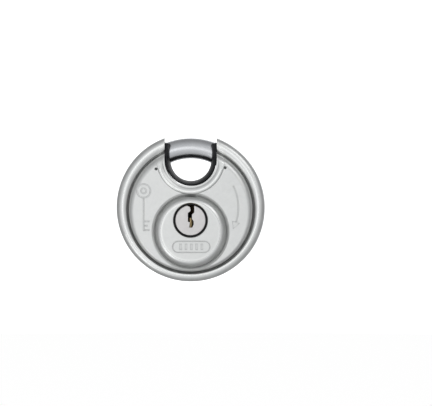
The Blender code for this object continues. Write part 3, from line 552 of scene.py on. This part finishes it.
def stroke(points, width):
    """The outline of a line of that width through (x, z) points."""
    left, right = [], []
    for n, (x, z) in enumerate(points):
        before, after = points[max(n - 1, 0)], points[min(n + 1, len(points) - 1)]
        run, rise = after[0] - before[0], after[1] - before[1]
        reach = width / 2 / math.hypot(run, rise)
        left.append((x - rise * reach, z + run * reach))
        right.append((x + rise * reach, z - run * reach))
    return left + right[::-1]


def stamp(shell, outline, face):
    """Presses a closed outline into the front shell, where its face stands that far forward."""
    carve(shell, blank("stamp", slab(outline, -face - 0.4, -face + stamp_depth)))


def stamp_ring(shell, outside, inside, face):
    """Presses the line between two outlines of as many points."""
    rows = [[(x, y, z) for x, z in line] for line, y in (
        (outside, -face - 0.4),
        (outside, -face + stamp_depth),
        (inside, -face + stamp_depth),
        (inside, -face - 0.4),
    )]
    carve(shell, blank("stamp", skin_over(rows, looped=True)))


def stadium(half_length, radius, centre):
    """A bar's outline with round ends, half_length from its centre to the middle of each."""
    right = arc(radius, -math.pi / 2, math.pi / 2, 16, (centre[0] + half_length, centre[1]))
    return right + arc(radius, math.pi / 2, 1.5 * math.pi, 16, (centre[0] - half_length, centre[1]))


key_x, bow_z, bow_radius, eye_radius, key_tip = -15.6, 5.5, 2.5, 1.1, -7.9
circle = [math.tau * n / 48 for n in range(48)]
for radius in (bow_radius, eye_radius):
    rings = [
        [(key_x + r * math.cos(a), bow_z + r * math.sin(a)) for a in circle]
        for r in (radius, radius - line_width)
    ]
    stamp_ring(front, *rings, face_depth)
stamp(front, stroke([(key_x, bow_z - bow_radius - 0.05), (key_x, key_tip)], line_width), face_depth)
bit_start = key_x + line_width / 2 + 0.05
for z, reach in ((-7.55, 1.9), (-6.1, 1.3), (-4.65, 1.9)):
    stamp(front, stroke([(bit_start, z), (key_x + reach, z)], line_width), face_depth)
sweep_radius, sweep_start, sweep_end = 15.9, 0.47, -0.31
sweep = arc(sweep_radius, sweep_start, sweep_end, 20)
stamp(front, stroke(sweep, line_width), face_depth)
barb_in, barb_out = sweep_radius - 1.3, sweep_radius + 1.3
tip_turn, barb_turn = sweep_end - 0.16, sweep_end - 0.005
arrow_head = [
    (barb_in * math.cos(barb_turn), barb_in * math.sin(barb_turn)),
    (barb_out * math.cos(barb_turn), barb_out * math.sin(barb_turn)),
    (sweep_radius * math.cos(tip_turn), sweep_radius * math.sin(tip_turn)),
]
stamp(front, arrow_head, face_depth)
frame_centre, frame_length, frame_radius, frame_line = (0.3, -13.04), 12.7, 2.02, 0.36
straight = frame_length / 2 - frame_radius
outline = stadium(straight, frame_radius, frame_centre)
stamp_ring(front, outline, stadium(straight, frame_radius - frame_line, frame_centre), boss_face)
bars, bar_pitch, bar_half, bar_foot, bar_top = 5, 1.75, 0.38, -14.05, -12.0
for n in range(bars):
    x = frame_centre[0] + bar_pitch * (n - bars // 2)
    left, right = x - bar_half, x + bar_half
    stamp(front, [(left, bar_foot), (right, bar_foot), (right, bar_top), (left, bar_top)], boss_face)
for x, z in ((-11.5, 12.8), (11.5, 13.2)):
    punch = [(0.55, -face_depth - 0.6), (0.5, -face_depth), (0.05, -face_depth + 0.95)]
    carve(front, blank("punch", turned(punch, 24, (x, z))))

hole_round = 0.16
hole = [
    (plug_hole + hole_round, -boss_face - 1.0),
    (plug_hole + hole_round, -boss_face - 0.02),
    (plug_hole + 0.12, -boss_face + 0.03),
    (plug_hole, -boss_face + hole_round),
    (plug_hole, -5.0),
]
carve(front, blank("face hole", turned(hole, 128, (0.0, plug_drop))))
rear = draw_shell("shell_rear", 1)
place(front, satin_steel, "lock_body", ["front_shell"])
place(rear, satin_steel, "lock_body", ["rear_shell"])

# ---------------------------------------------------------------------------------------------
# The weld that joins the shells: a thin laser weld round the rim, its puddles left as fine
# ripples, stopping at each side of the throat.
# ---------------------------------------------------------------------------------------------
weld_radius, weld_half_width, weld_height = 24.7, 0.33, 0.24
weld_start, weld_end = math.radians(112.0), math.radians(428.0)
weld_steps, ripple_height, ripple_turn = 1400, 0.02, 0.9
weld_rows = []
for n in range(weld_steps + 1):
    turn = weld_start + (weld_end - weld_start) * n / weld_steps
    ripple = ripple_height * math.cos(n * ripple_turn)
    end_fade = min(1.0, 0.3 + min(n, weld_steps - n) / 8)
    row = []
    for m in range(12):
        roll = math.tau * m / 12
        out = weld_radius + (weld_height * end_fade + ripple) * math.cos(roll)
        aside = weld_half_width * end_fade * math.sin(roll)
        row.append((out * math.cos(turn), aside, out * math.sin(turn)))
    weld_rows.append(row)
weld_steel = finish_metal(
    "welded steel",
    bright=(0.66, 0.66, 0.65),
    dull=(0.50, 0.50, 0.50),
    # The colour of the painted shade in corners.
    corner_shade_colour=(0.16, 0.15, 0.15),
    roughness=(0.25, 0.33, 0.45),
    depth=0.000008,
    grain_scale=6000.0,
)
weld = blank("weld_seam", skin_over(weld_rows))
place(weld, weld_steel, "lock_body", [])

# ---------------------------------------------------------------------------------------------
# The throat's lining: a U moulded in black nylon that keeps staple and body from scratching. Its
# inside is crowned, and it is forked where the shackle passes through.
# ---------------------------------------------------------------------------------------------
liner_out, liner_in = throat_half - 0.2, throat_half - 1.9
liner_half = face_depth - 1.1
liner_top = body_radius - 3.6
section = [(liner_out, -liner_half + 0.25), (liner_out, liner_half - 0.25)]
section += [(liner_out - 0.07, liner_half - 0.07), (liner_out - 0.25, liner_half)]
liner_edge = liner_out - 0.5
for turn in range(60, -61, -6):
    bulge = 2 * math.cos(math.radians(turn)) - 1
    depth = liner_half * math.sin(math.radians(turn)) / math.sin(math.radians(60))
    section.append((liner_edge - (liner_edge - liner_in) * bulge, depth))
section += [(liner_out - 0.25, -liner_half), (liner_out - 0.07, -liner_half + 0.07)]


def finish_plastic(name, colour, pale, roughness, depth, grain_scale, worn=0.5):
    """A moulded plastic or rubber: fine texture, edges gone pale and dust in its corners."""
    material, tree, shader = new_material(name, colour, 0.0, roughness)
    shader.inputs["Specular IOR Level"].default_value = 0.25
    grained = use_group(tree, grain, Grain_Scale=grain_scale, Cloud_Scale=grain_scale / 14)
    edges = use_group(tree, wear, Width=0.00015, Amount=worn)
    dusty = use_group(tree, corners, Reach=0.0005, Amount=0.35)
    tone = add(tree, "ShaderNodeMix", data_type="RGBA")
    tone.inputs[6].default_value = (*colour, 1.0)
    tone.inputs[7].default_value = (*[c * 1.7 + 0.004 for c in colour], 1.0)
    edge_tone = add(tree, "ShaderNodeMix", data_type="RGBA")
    edge_tone.inputs[7].default_value = (*pale, 1.0)
    dust_tone = add(tree, "ShaderNodeMix", data_type="RGBA")
    dust_tone.inputs[7].default_value = (*[c * 0.5 + 0.012 for c in pale], 1.0)
    rough = add(tree, "ShaderNodeMapRange", _From_Min=0.3, _From_Max=0.7)
    rough.inputs["To Min"].default_value = roughness - 0.08
    rough.inputs["To Max"].default_value = roughness + 0.1
    bump = add(tree, "ShaderNodeBump", _Strength=1.0, _Distance=depth)
    link = tree.links.new
    link(grained.outputs["Clouds"], tone.inputs[0])
    link(tone.outputs[2], edge_tone.inputs[6])
    link(edges.outputs["Mask"], edge_tone.inputs[0])
    link(edge_tone.outputs[2], dust_tone.inputs[6])
    link(dusty.outputs["Mask"], dust_tone.inputs[0])
    link(dust_tone.outputs[2], shader.inputs["Base Color"])
    link(grained.outputs["Clouds"], rough.inputs["Value"])
    link(rough.outputs["Result"], shader.inputs["Roughness"])
    link(grained.outputs["Height"], bump.inputs["Height"])
    link(edges.outputs["Soft Normal"], bump.inputs["Normal"])
    link(bump.outputs["Normal"], shader.inputs["Normal"])
    return material


black_nylon = finish_plastic(
    "black nylon",
    colour=(0.007, 0.0075, 0.009),
    pale=(0.04, 0.042, 0.046),
    roughness=0.48,
    depth=0.00002,
    grain_scale=2600.0,
)
liner = blank("throat_lining", along_throat(section, liner_top, 96))
tunnel = [(angle, tunnel_radius) for angle in range(40, 141, 2)]
carve(liner, blank("tunnel", bent_bar(tunnel, 96)))
place(liner, black_nylon, "lock_body", ["throat_liner"])

# ---------------------------------------------------------------------------------------------
# The shackle: a 7 mm bar of hardened steel bent to a third of a ring, ground and plated, its nose
# rounded. A flat land at the tail takes the drive plate on two dowels.
# ---------------------------------------------------------------------------------------------
nose_angle, tail_angle, land_angle = 132.0, -3.0, 15.0
land_depth = bar_radius + 0.1
plate_edge = face_radius - 0.1
seat_radius = track_radius - bar_radius
degree = math.pi * track_radius / 180  # along the bar
nose = [(2.0, 1.0), (1.5, 0.975), (1.1, 0.93), (0.7, 0.86), (0.4, 0.77), (0.15, 0.66), (0.0, 0.54)]
stations = [(tail_angle, bar_radius - 0.6), (tail_angle + 0.25 / degree, bar_radius - 0.2)]
first, last = tail_angle + 0.6 / degree, nose_angle - nose[0][0] / degree
stations += [(first + (last - first) * n / 160, bar_radius) for n in range(160)]
stations += [(nose_angle - back / degree, share * bar_radius) for back, share in nose]
bar = blank("shackle_bar", bent_bar(stations, 72))
low, high = (math.radians(a) for a in (tail_angle + 1, tail_angle + land_angle))
land = arc(plate_edge + 0.2, low, high, 24) + arc(seat_radius + 0.3, high, low, 24)
carve(bar, blank("land", slab(land, 0.5, land_depth)), "UNION")
dowel_ring, dowel_hole = (seat_radius + plate_edge) / 2, 1.05
for share in (0.3, 0.75):
    angle = math.radians(tail_angle + land_angle * share)
    middle = (dowel_ring * math.cos(angle), dowel_ring * math.sin(angle))
    carve(bar, blank("dowel hole", turned([(dowel_hole, 0.6), (dowel_hole, 9.0)], 40, middle)))
plated_steel = finish_metal(
    "hardened and plated steel",
    bright=(0.75, 0.755, 0.76),
    dull=(0.62, 0.63, 0.66),
    corner_shade_colour=(0.12, 0.12, 0.13),
    roughness=(0.14, 0.19, 0.28),
    depth=0.000004,
    grain_scale=3600.0,
    worn=0.4,
)
place(bar, plated_steel, "shackle_group", ["shackle"])

# ---------------------------------------------------------------------------------------------
# The drive plate of the shackle and its two dowels: a lever blanked from 1.2 mm hardened strip,
# with a slot for the crank's pin. The dowels are pressed through it into the shackle's land.
# ---------------------------------------------------------------------------------------------
tempered_steel = finish_metal(
    "tempered steel",
    bright=(0.55, 0.54, 0.53),
    dull=(0.36, 0.35, 0.35),
    # The colour of the painted shade in corners.
    corner_shade_colour=(0.07, 0.06, 0.05),
    roughness=(0.22, 0.32, 0.42),
    depth=0.000006,
    grain_scale=2800.0,
)


def finish_node(name, material):
    """Gives a piece that keeps its shape from the frame its finish."""
    node = bpy.data.objects[name]
    for holder in node.material_slots:
        holder.material = material


for name in ("shackle_carrier", "carrier_dowel_1", "carrier_dowel_2"):
    finish_node(name, tempered_steel)

# ---------------------------------------------------------------------------------------------
# The core and the guard plate: a zinc die casting that fills the body and holds the cylinder, and
# a hardened horseshoe laid round the plug against drilling.
# ---------------------------------------------------------------------------------------------
die_cast_zinc = finish_metal(
    "die-cast zinc",
    bright=(0.60, 0.61, 0.63),
    dull=(0.43, 0.44, 0.46),
    # The colour of the painted shade in corners.
    corner_shade_colour=(0.16, 0.16, 0.16),
    roughness=(0.35, 0.5, 0.62),
    depth=0.00003,
    grain_scale=1500.0,
)
finish_node("core_frame", die_cast_zinc)
finish_node("anti_drill_plate", tempered_steel)

# ---------------------------------------------------------------------------------------------
# The cylinder's housing and the strip over its pin chambers. The housing is turned from brass bar,
# drilled for the pins and milled at its stem, and the strip is pressed in to close the chambers.
# ---------------------------------------------------------------------------------------------
milled_brass = finish_metal(
    "milled brass",
    bright=(0.86, 0.67, 0.36),
    dull=(0.70, 0.51, 0.25),
    # The colour of the painted shade in corners.
    corner_shade_colour=(0.16, 0.10, 0.05),
    roughness=(0.2, 0.3, 0.4),
    depth=0.000006,
    grain_scale=3000.0,
)
finish_node("cylinder_housing", milled_brass)
finish_node("pin_chamber_cover", milled_brass)

# ---------------------------------------------------------------------------------------------
# The face seal: a black rubber ring pressed between the plug and the hole in the front shell,
# with a rounded lip. Its black also stands in as painted shade for the dark, shaded gap round the plug.
# ---------------------------------------------------------------------------------------------
seal_in, seal_out = 5.15, plug_hole - 0.1
seal_front, seal_rear = -(boss_face - 0.35), -(boss_face - sheet - 0.1)
seal_middle = (seal_in + seal_out) / 2
lip = [
    (seal_middle + (seal_out - seal_in) / 2 * math.cos(a), seal_front + 0.12 - 0.12 * math.sin(a))
    for a in [math.pi * n / 10 for n in range(11)]
]
section = [*lip, (seal_in, seal_rear), (seal_out, seal_rear)]
shade_seal = blank(
    "plug_face_seal_shade", skin_over([ring_points(plug_drop, r, y, 128) for r, y in section], looped=True)
)
shade_black_rubber = finish_plastic(
    "black rubber",
    colour=(0.008, 0.008, 0.009),
    pale=(0.03, 0.03, 0.032),
    roughness=0.6,
    depth=0.00001,
    grain_scale=4000.0,
    worn=0.2,
)
place(shade_seal, shade_black_rubber, "lock_body", ["face_seal"])

# ---------------------------------------------------------------------------------------------
# The plug: turned from brass, its face nickel plated and showing fine turning rings, with the
# keyway broached from the front and a stepped tail at the back for the clip and the crank.
# ---------------------------------------------------------------------------------------------
plug_radius, plug_face = 5.0, boss_face - 0.2
plug_step, clip_seat, clip_width, crank_front, crank_rear = 2.65, 3.65, 0.7, 6.2, 7.4
tail_radius, clip_radius, crank_radius = 2.2, 1.7, 1.6
profile = [
    (plug_radius - 0.2, -plug_face),
    (plug_radius - 0.11, -plug_face + 0.03),
    (plug_radius - 0.03, -plug_face + 0.1),
    (plug_radius, -plug_face + 0.2),
    (plug_radius, plug_step - 0.1),
    (plug_radius - 0.1, plug_step),
    (tail_radius, plug_step),
    (tail_radius, clip_seat),
    (clip_radius, clip_seat),
    (clip_radius, clip_seat + clip_width),
    (tail_radius, clip_seat + clip_width),
    (tail_radius, crank_front - 0.1),
    (crank_radius, crank_front - 0.1),
    (crank_radius, crank_rear),
    (crank_radius - 0.1, crank_rear + 0.1),
]
plug = blank("keyed_plug", turned(profile, 144, (0.0, plug_drop)))
keyway = [
    (-0.2, 4.4), (0.05, 3.4), (-0.2, 2.9), (-0.7, 2.55), (-0.85, 2.4), (-0.85, -0.35), (-0.78, -0.48),
    (-0.2, -0.65), (-0.4, -2.3), (-0.3, -2.4), (0.5, -2.4), (0.65, -2.3), (1.05, -1.3), (1.05, -0.3),
    (0.5, 0.5), (0.5, 1.9), (1.15, 2.5), (1.25, 2.7), (1.25, 5.6), (-1.3, 5.6), (-1.3, 4.9),
]
pin_radius, chamber_radius, first_pin, pin_pitch = 1.0, 1.15, -6.4, 2.55
pin_places = [first_pin + pin_pitch * n for n in range(4)]
slot_shape = [(x, z + plug_drop) for x, z in keyway]
carve(plug, blank("keyway", slab(slot_shape, -12.0, plug_step - 1.0)))


def upright(profile, count, y):
    """A solid turned about an upright line, from (radius, height above the plug's axis) points."""
    turns = [math.tau * n / count for n in range(count)]
    rows = [
        [(r * math.cos(a), y + r * math.sin(a), z + plug_drop) for a in turns] for r, z in profile
    ]
    return skin_over(rows)


for y in pin_places:
    chamber = [(chamber_radius, -8.0), (chamber_radius, 1.6), (0.5 * chamber_radius, 2.2)]
    carve(plug, blank("chamber", upright(chamber, 40, y)))
tap_radius = 0.9
tapped = turned([(tap_radius, crank_rear - 2.9), (tap_radius, crank_rear + 3.0)], 32, (0.0, plug_drop))
carve(plug, blank("tapped hole", tapped))

# Turning marks: rings about the plug's axis that a lathe tool leaves.
turning, into, out = start_group(
    "turning marks",
    [("Axis Height", FLOAT, 0.0), ("Ring Scale", FLOAT, 9000.0)],
    [("Height", FLOAT), ("Depth", FLOAT)],
)
spot = turning.nodes.new("ShaderNodeTexCoord")
apart = turning.nodes.new("ShaderNodeSeparateXYZ")
lower = add(turning, "ShaderNodeMath", operation="SUBTRACT")
flat = turning.nodes.new("ShaderNodeCombineXYZ")
out_from_axis = add(turning, "ShaderNodeVectorMath", operation="LENGTH")
scaled = add(turning, "ShaderNodeMath", operation="MULTIPLY")
lines = add(turning, "ShaderNodeTexNoise", noise_dimensions="1D", _Scale=1.0, _Detail=3.0)
turning.links.new(spot.outputs["Object"], apart.inputs[0])
turning.links.new(apart.outputs["Z"], lower.inputs[0])
turning.links.new(into.outputs["Axis Height"], lower.inputs[1])
turning.links.new(apart.outputs["X"], flat.inputs["X"])
turning.links.new(lower.outputs[0], flat.inputs["Z"])
turning.links.new(flat.outputs[0], out_from_axis.inputs[0])
turning.links.new(out_from_axis.outputs["Value"], scaled.inputs[0])
turning.links.new(into.outputs["Ring Scale"], scaled.inputs[1])
turning.links.new(scaled.outputs[0], lines.inputs["W"])
turning.links.new(lines.outputs["Fac"], out.inputs["Height"])
turning.links.new(apart.outputs["Y"], out.inputs["Depth"])

plated_brass, tree, shader = new_material("nickel-plated brass", (0.74, 0.72, 0.71), 1.0, 0.3)
rings = use_group(tree, turning, Axis_Height=(axis_height + plug_drop) * MM, Ring_Scale=9000.0)
smudges = use_group(tree, grain, Grain_Scale=3000.0, Cloud_Scale=420.0)
edges = use_group(tree, wear, Width=0.0001, Amount=0.8)
shaded = use_group(tree, corners, Reach=0.0035, Amount=1.0)
behind_face = add(tree, "ShaderNodeMapRange")
behind_face.inputs["From Min"].default_value = (-plug_face + 0.22) * MM
behind_face.inputs["From Max"].default_value = (-plug_face + 0.32) * MM
plating = add(tree, "ShaderNodeMix", data_type="RGBA")
plating.inputs[6].default_value = (0.60, 0.575, 0.57, 1.0)
plating.inputs[7].default_value = (0.74, 0.73, 0.72, 1.0)
bared = add(tree, "ShaderNodeMix", data_type="RGBA")
bared.inputs[7].default_value = (0.50, 0.34, 0.15, 1.0)
# Painted shade: inside the keyway, behind the plug's face, the colour is darkened nearly to black where
# the plug is closed in.
deep_shade_mask = add(tree, "ShaderNodeMath", operation="MULTIPLY", use_clamp=True)
keyway_shade_tone = add(tree, "ShaderNodeMix", data_type="RGBA")
keyway_shade_tone.inputs[7].default_value = (0.012, 0.009, 0.006, 1.0)
plug_rough = add(tree, "ShaderNodeMapRange", _To_Min=0.28, _To_Max=0.42)
plug_bump = add(tree, "ShaderNodeBump", _Strength=1.0, _Distance=0.000006)
link = tree.links.new
link(rings.outputs["Depth"], behind_face.inputs["Value"])
link(smudges.outputs["Clouds"], plating.inputs[0])
link(plating.outputs[2], bared.inputs[6])
link(behind_face.outputs["Result"], bared.inputs[0])
link(shaded.outputs["Mask"], deep_shade_mask.inputs[0])
link(behind_face.outputs["Result"], deep_shade_mask.inputs[1])
link(bared.outputs[2], keyway_shade_tone.inputs[6])
link(deep_shade_mask.outputs[0], keyway_shade_tone.inputs[0])
link(keyway_shade_tone.outputs[2], shader.inputs["Base Color"])
link(smudges.outputs["Speckle"], plug_rough.inputs["Value"])
link(plug_rough.outputs["Result"], shader.inputs["Roughness"])
link(rings.outputs["Height"], plug_bump.inputs["Height"])
link(edges.outputs["Soft Normal"], plug_bump.inputs["Normal"])
link(plug_bump.outputs["Normal"], shader.inputs["Normal"])
place(plug, plated_brass, "plug_group", ["plug"])

# ---------------------------------------------------------------------------------------------
# The pins and springs: four stacks of a brass key pin, a steel driver pin with a spool waist and a
# coil spring of 0.3 mm wire, under the plug. Each pin is turned and its ends are rounded.
# ---------------------------------------------------------------------------------------------
key_pin_lengths = (6.0, 4.8, 5.6, 5.2)
pin_brass = finish_metal(
    "matt pin brass",
    bright=(0.95, 0.75, 0.43),
    dull=(0.84, 0.63, 0.33),
    # The colour of the painted shade in corners.
    corner_shade_colour=(0.5, 0.36, 0.18),
    roughness=(0.3, 0.42, 0.5),
    depth=0.000004,
    grain_scale=4000.0,
    reach=0.0003,
)
shear, driver_length = plug_radius - 0.15, 3.6
driver_top = -plug_radius - 0.12
for number, (y, length) in enumerate(zip(pin_places, key_pin_lengths), 1):
    key_pin = [
        (pin_radius - 0.12, -shear),
        (pin_radius - 0.03, -shear + 0.04),
        (pin_radius, -shear + 0.14),
        (pin_radius, -shear + length - 0.62),
        (pin_radius - 0.04, -shear + length - 0.54),
        (0.52 * pin_radius, -shear + length - 0.08),
        (0.42 * pin_radius, -shear + length),
    ]
    pin = blank(f"turned_key_pin_{number}", upright(key_pin, 48, y))
    place(pin, pin_brass, f"key_pin_group_{number}", [f"key_pin_{number}"])
    foot = driver_top - driver_length
    driver = [
        (pin_radius - 0.1, foot),
        (pin_radius, foot + 0.1),
        (pin_radius, foot + 0.9),
        (0.75 * pin_radius, foot + 1.1),
        (0.75 * pin_radius, driver_top - 1.0),
        (pin_radius, driver_top - 0.7),
        (pin_radius, driver_top - 0.12),
        (pin_radius - 0.12, driver_top),
    ]
    pin = blank(f"turned_driver_pin_{number}", upright(driver, 48, y))
    nodes = [f"driver_pin_{number}"]
    place(pin, plated_steel, f"driver_pin_group_{number}", nodes)
    finish_node(f"pin_spring_{number}", plated_steel)

# ---------------------------------------------------------------------------------------------
# The crank on the plug's tail, with its pin and slotted screw, and the spring clip that keeps the
# plug in the housing. The crank and the clip, hardened, tempered to a brown straw and lightly oiled,
# are given tempered steel; the pin and the screw are given plated steel.
# ---------------------------------------------------------------------------------------------
for name in ("crank_arm", "plug_clip"):
    finish_node(name, tempered_steel)
for name in ("crank_pin", "crank_screw"):
    finish_node(name, plated_steel)

# ---------------------------------------------------------------------------------------------
# The camera, the stage and the lights: a pale studio, brightest in front of the lock and to its
# left, with two soft cards that draw the highlights at the upper right and the lower left.
# ---------------------------------------------------------------------------------------------
lens, sensor, frame_width = 135.0, 36.0, 145.7 * MM
distance = frame_width * lens / sensor
aside, higher = 8.45, 1.46  # of the camera, from the lock's axis
lens_data = bpy.data.cameras.new("camera")
lens_data.lens = lens
lens_data.sensor_width = sensor
lens_data.clip_start = 0.01
camera = bpy.data.objects.new("camera", lens_data)
camera.location = (aside * MM, -distance, (axis_height + higher) * MM)
camera.rotation_euler = (math.pi / 2, 0.0, 0.0)
bpy.context.scene.collection.objects.link(camera)
bpy.context.scene.camera = camera
bpy.context.scene.view_settings.view_transform = "Standard"

# The floor is a wide bowl of paper, in metres: flat under the lock, its wall rising far round it.
bowl_profile = [(0.9, -0.13), (1.2, -0.13), (1.6, -0.08), (1.9, 0.1), (2.0, 0.4), (2.0, 1.6)]
bowl_turns = [math.tau * n / 64 for n in range(64)]
bowl = bmesh.new()
rows = [
    [bowl.verts.new((r * math.cos(a), r * math.sin(a), z)) for a in bowl_turns]
    for r, z in bowl_profile
]
for one, two in zip(rows, rows[1:]):
    for n in range(len(one)):
        m = (n + 1) % len(one)
        bowl.faces.new((one[n], one[m], two[m], two[n]))
bowl.faces.new(rows[0])
bowl_mesh = bpy.data.meshes.new("studio_floor")
bowl.to_mesh(bowl_mesh)
bowl.free()
bowl_mesh.shade_smooth()
studio_floor = bpy.data.objects.new("studio_floor", bowl_mesh)
bpy.context.scene.collection.objects.link(studio_floor)
paper, tree, shader = new_material("white paper", (0.9, 0.9, 0.9), 0.0, 0.9)
shader.inputs["Emission Color"].default_value = (1.0, 1.0, 1.0, 1.0)
shader.inputs["Emission Strength"].default_value = 0.97
fibres = add(tree, "ShaderNodeTexNoise", _Scale=60.0, _Detail=4.0)
paper_tone = add(tree, "ShaderNodeMapRange", _To_Min=0.86, _To_Max=0.92)
tree.links.new(fibres.outputs["Fac"], paper_tone.inputs["Value"])
tree.links.new(paper_tone.outputs["Result"], shader.inputs["Base Color"])
bowl_mesh.materials.append(paper)
studio_floor.visible_glossy = False
studio_floor.visible_diffuse = False
studio_floor.visible_shadow = False


def card(name, where, size, radiance):
    """A soft light panel aimed at the lock, as bright as a card of that radiance."""
    lamp = bpy.data.lights.new(name, "AREA")
    lamp.shape = "RECTANGLE"
    lamp.size, lamp.size_y = size
    lamp.energy = radiance * math.pi * size[0] * size[1]
    panel = bpy.data.objects.new(name, lamp)
    aim = Vector((0.0, 0.0, axis_height * MM)) - Vector(where)
    panel.location = where
    panel.rotation_euler = aim.to_track_quat("-Z", "Y").to_euler()
    bpy.context.scene.collection.objects.link(panel)


card("upper right card", (0.62, -0.85, 0.62), (0.5, 0.5), 1.2)
card("lower left card", (-0.62, -0.85, -0.62), (0.5, 0.5), 1.1)
card("left card", (-0.11, -0.9, 0.03), (0.26, 0.5), 0.52)
card("back card", (0.3, 1.2, 0.5), (1.4, 1.4), 0.85)

# The studio's walls, by direction: white in front, falling off to grey at the sides and paler
# again behind.
brightest, side_walls = Vector((-0.12, -0.99, -0.02)).normalized(), 0.32
world = bpy.data.worlds.new("studio")
world.use_nodes = True
walls = world.node_tree
sky = walls.nodes["Background"]
sky.inputs["Color"].default_value = (0.97, 0.985, 1.0, 1.0)
towards = walls.nodes.new("ShaderNodeTexCoord")
facing = add(walls, "ShaderNodeVectorMath", operation="DOT_PRODUCT")
facing.inputs[1].default_value = brightest
walls.links.new(towards.outputs["Generated"], facing.inputs[0])
level = None
for start, end, gain in ((-0.3, 1.0, 0.48), (-0.1, -1.0, 0.42)):
    lifted = add(walls, "ShaderNodeMapRange")
    lifted.inputs["From Min"].default_value = start
    lifted.inputs["From Max"].default_value = end
    squared = add(walls, "ShaderNodeMath", operation="POWER")
    squared.inputs[1].default_value = 2.0
    summed = add(walls, "ShaderNodeMath", operation="MULTIPLY_ADD")
    summed.inputs[1].default_value = gain
    summed.inputs[2].default_value = side_walls
    walls.links.new(facing.outputs["Value"], lifted.inputs["Value"])
    walls.links.new(lifted.outputs["Result"], squared.inputs[0])
    walls.links.new(squared.outputs[0], summed.inputs[0])
    if level:
        walls.links.new(level, summed.inputs[2])
    level = summed.outputs[0]
walls.links.new(level, sky.inputs["Strength"])
bpy.context.scene.world = world
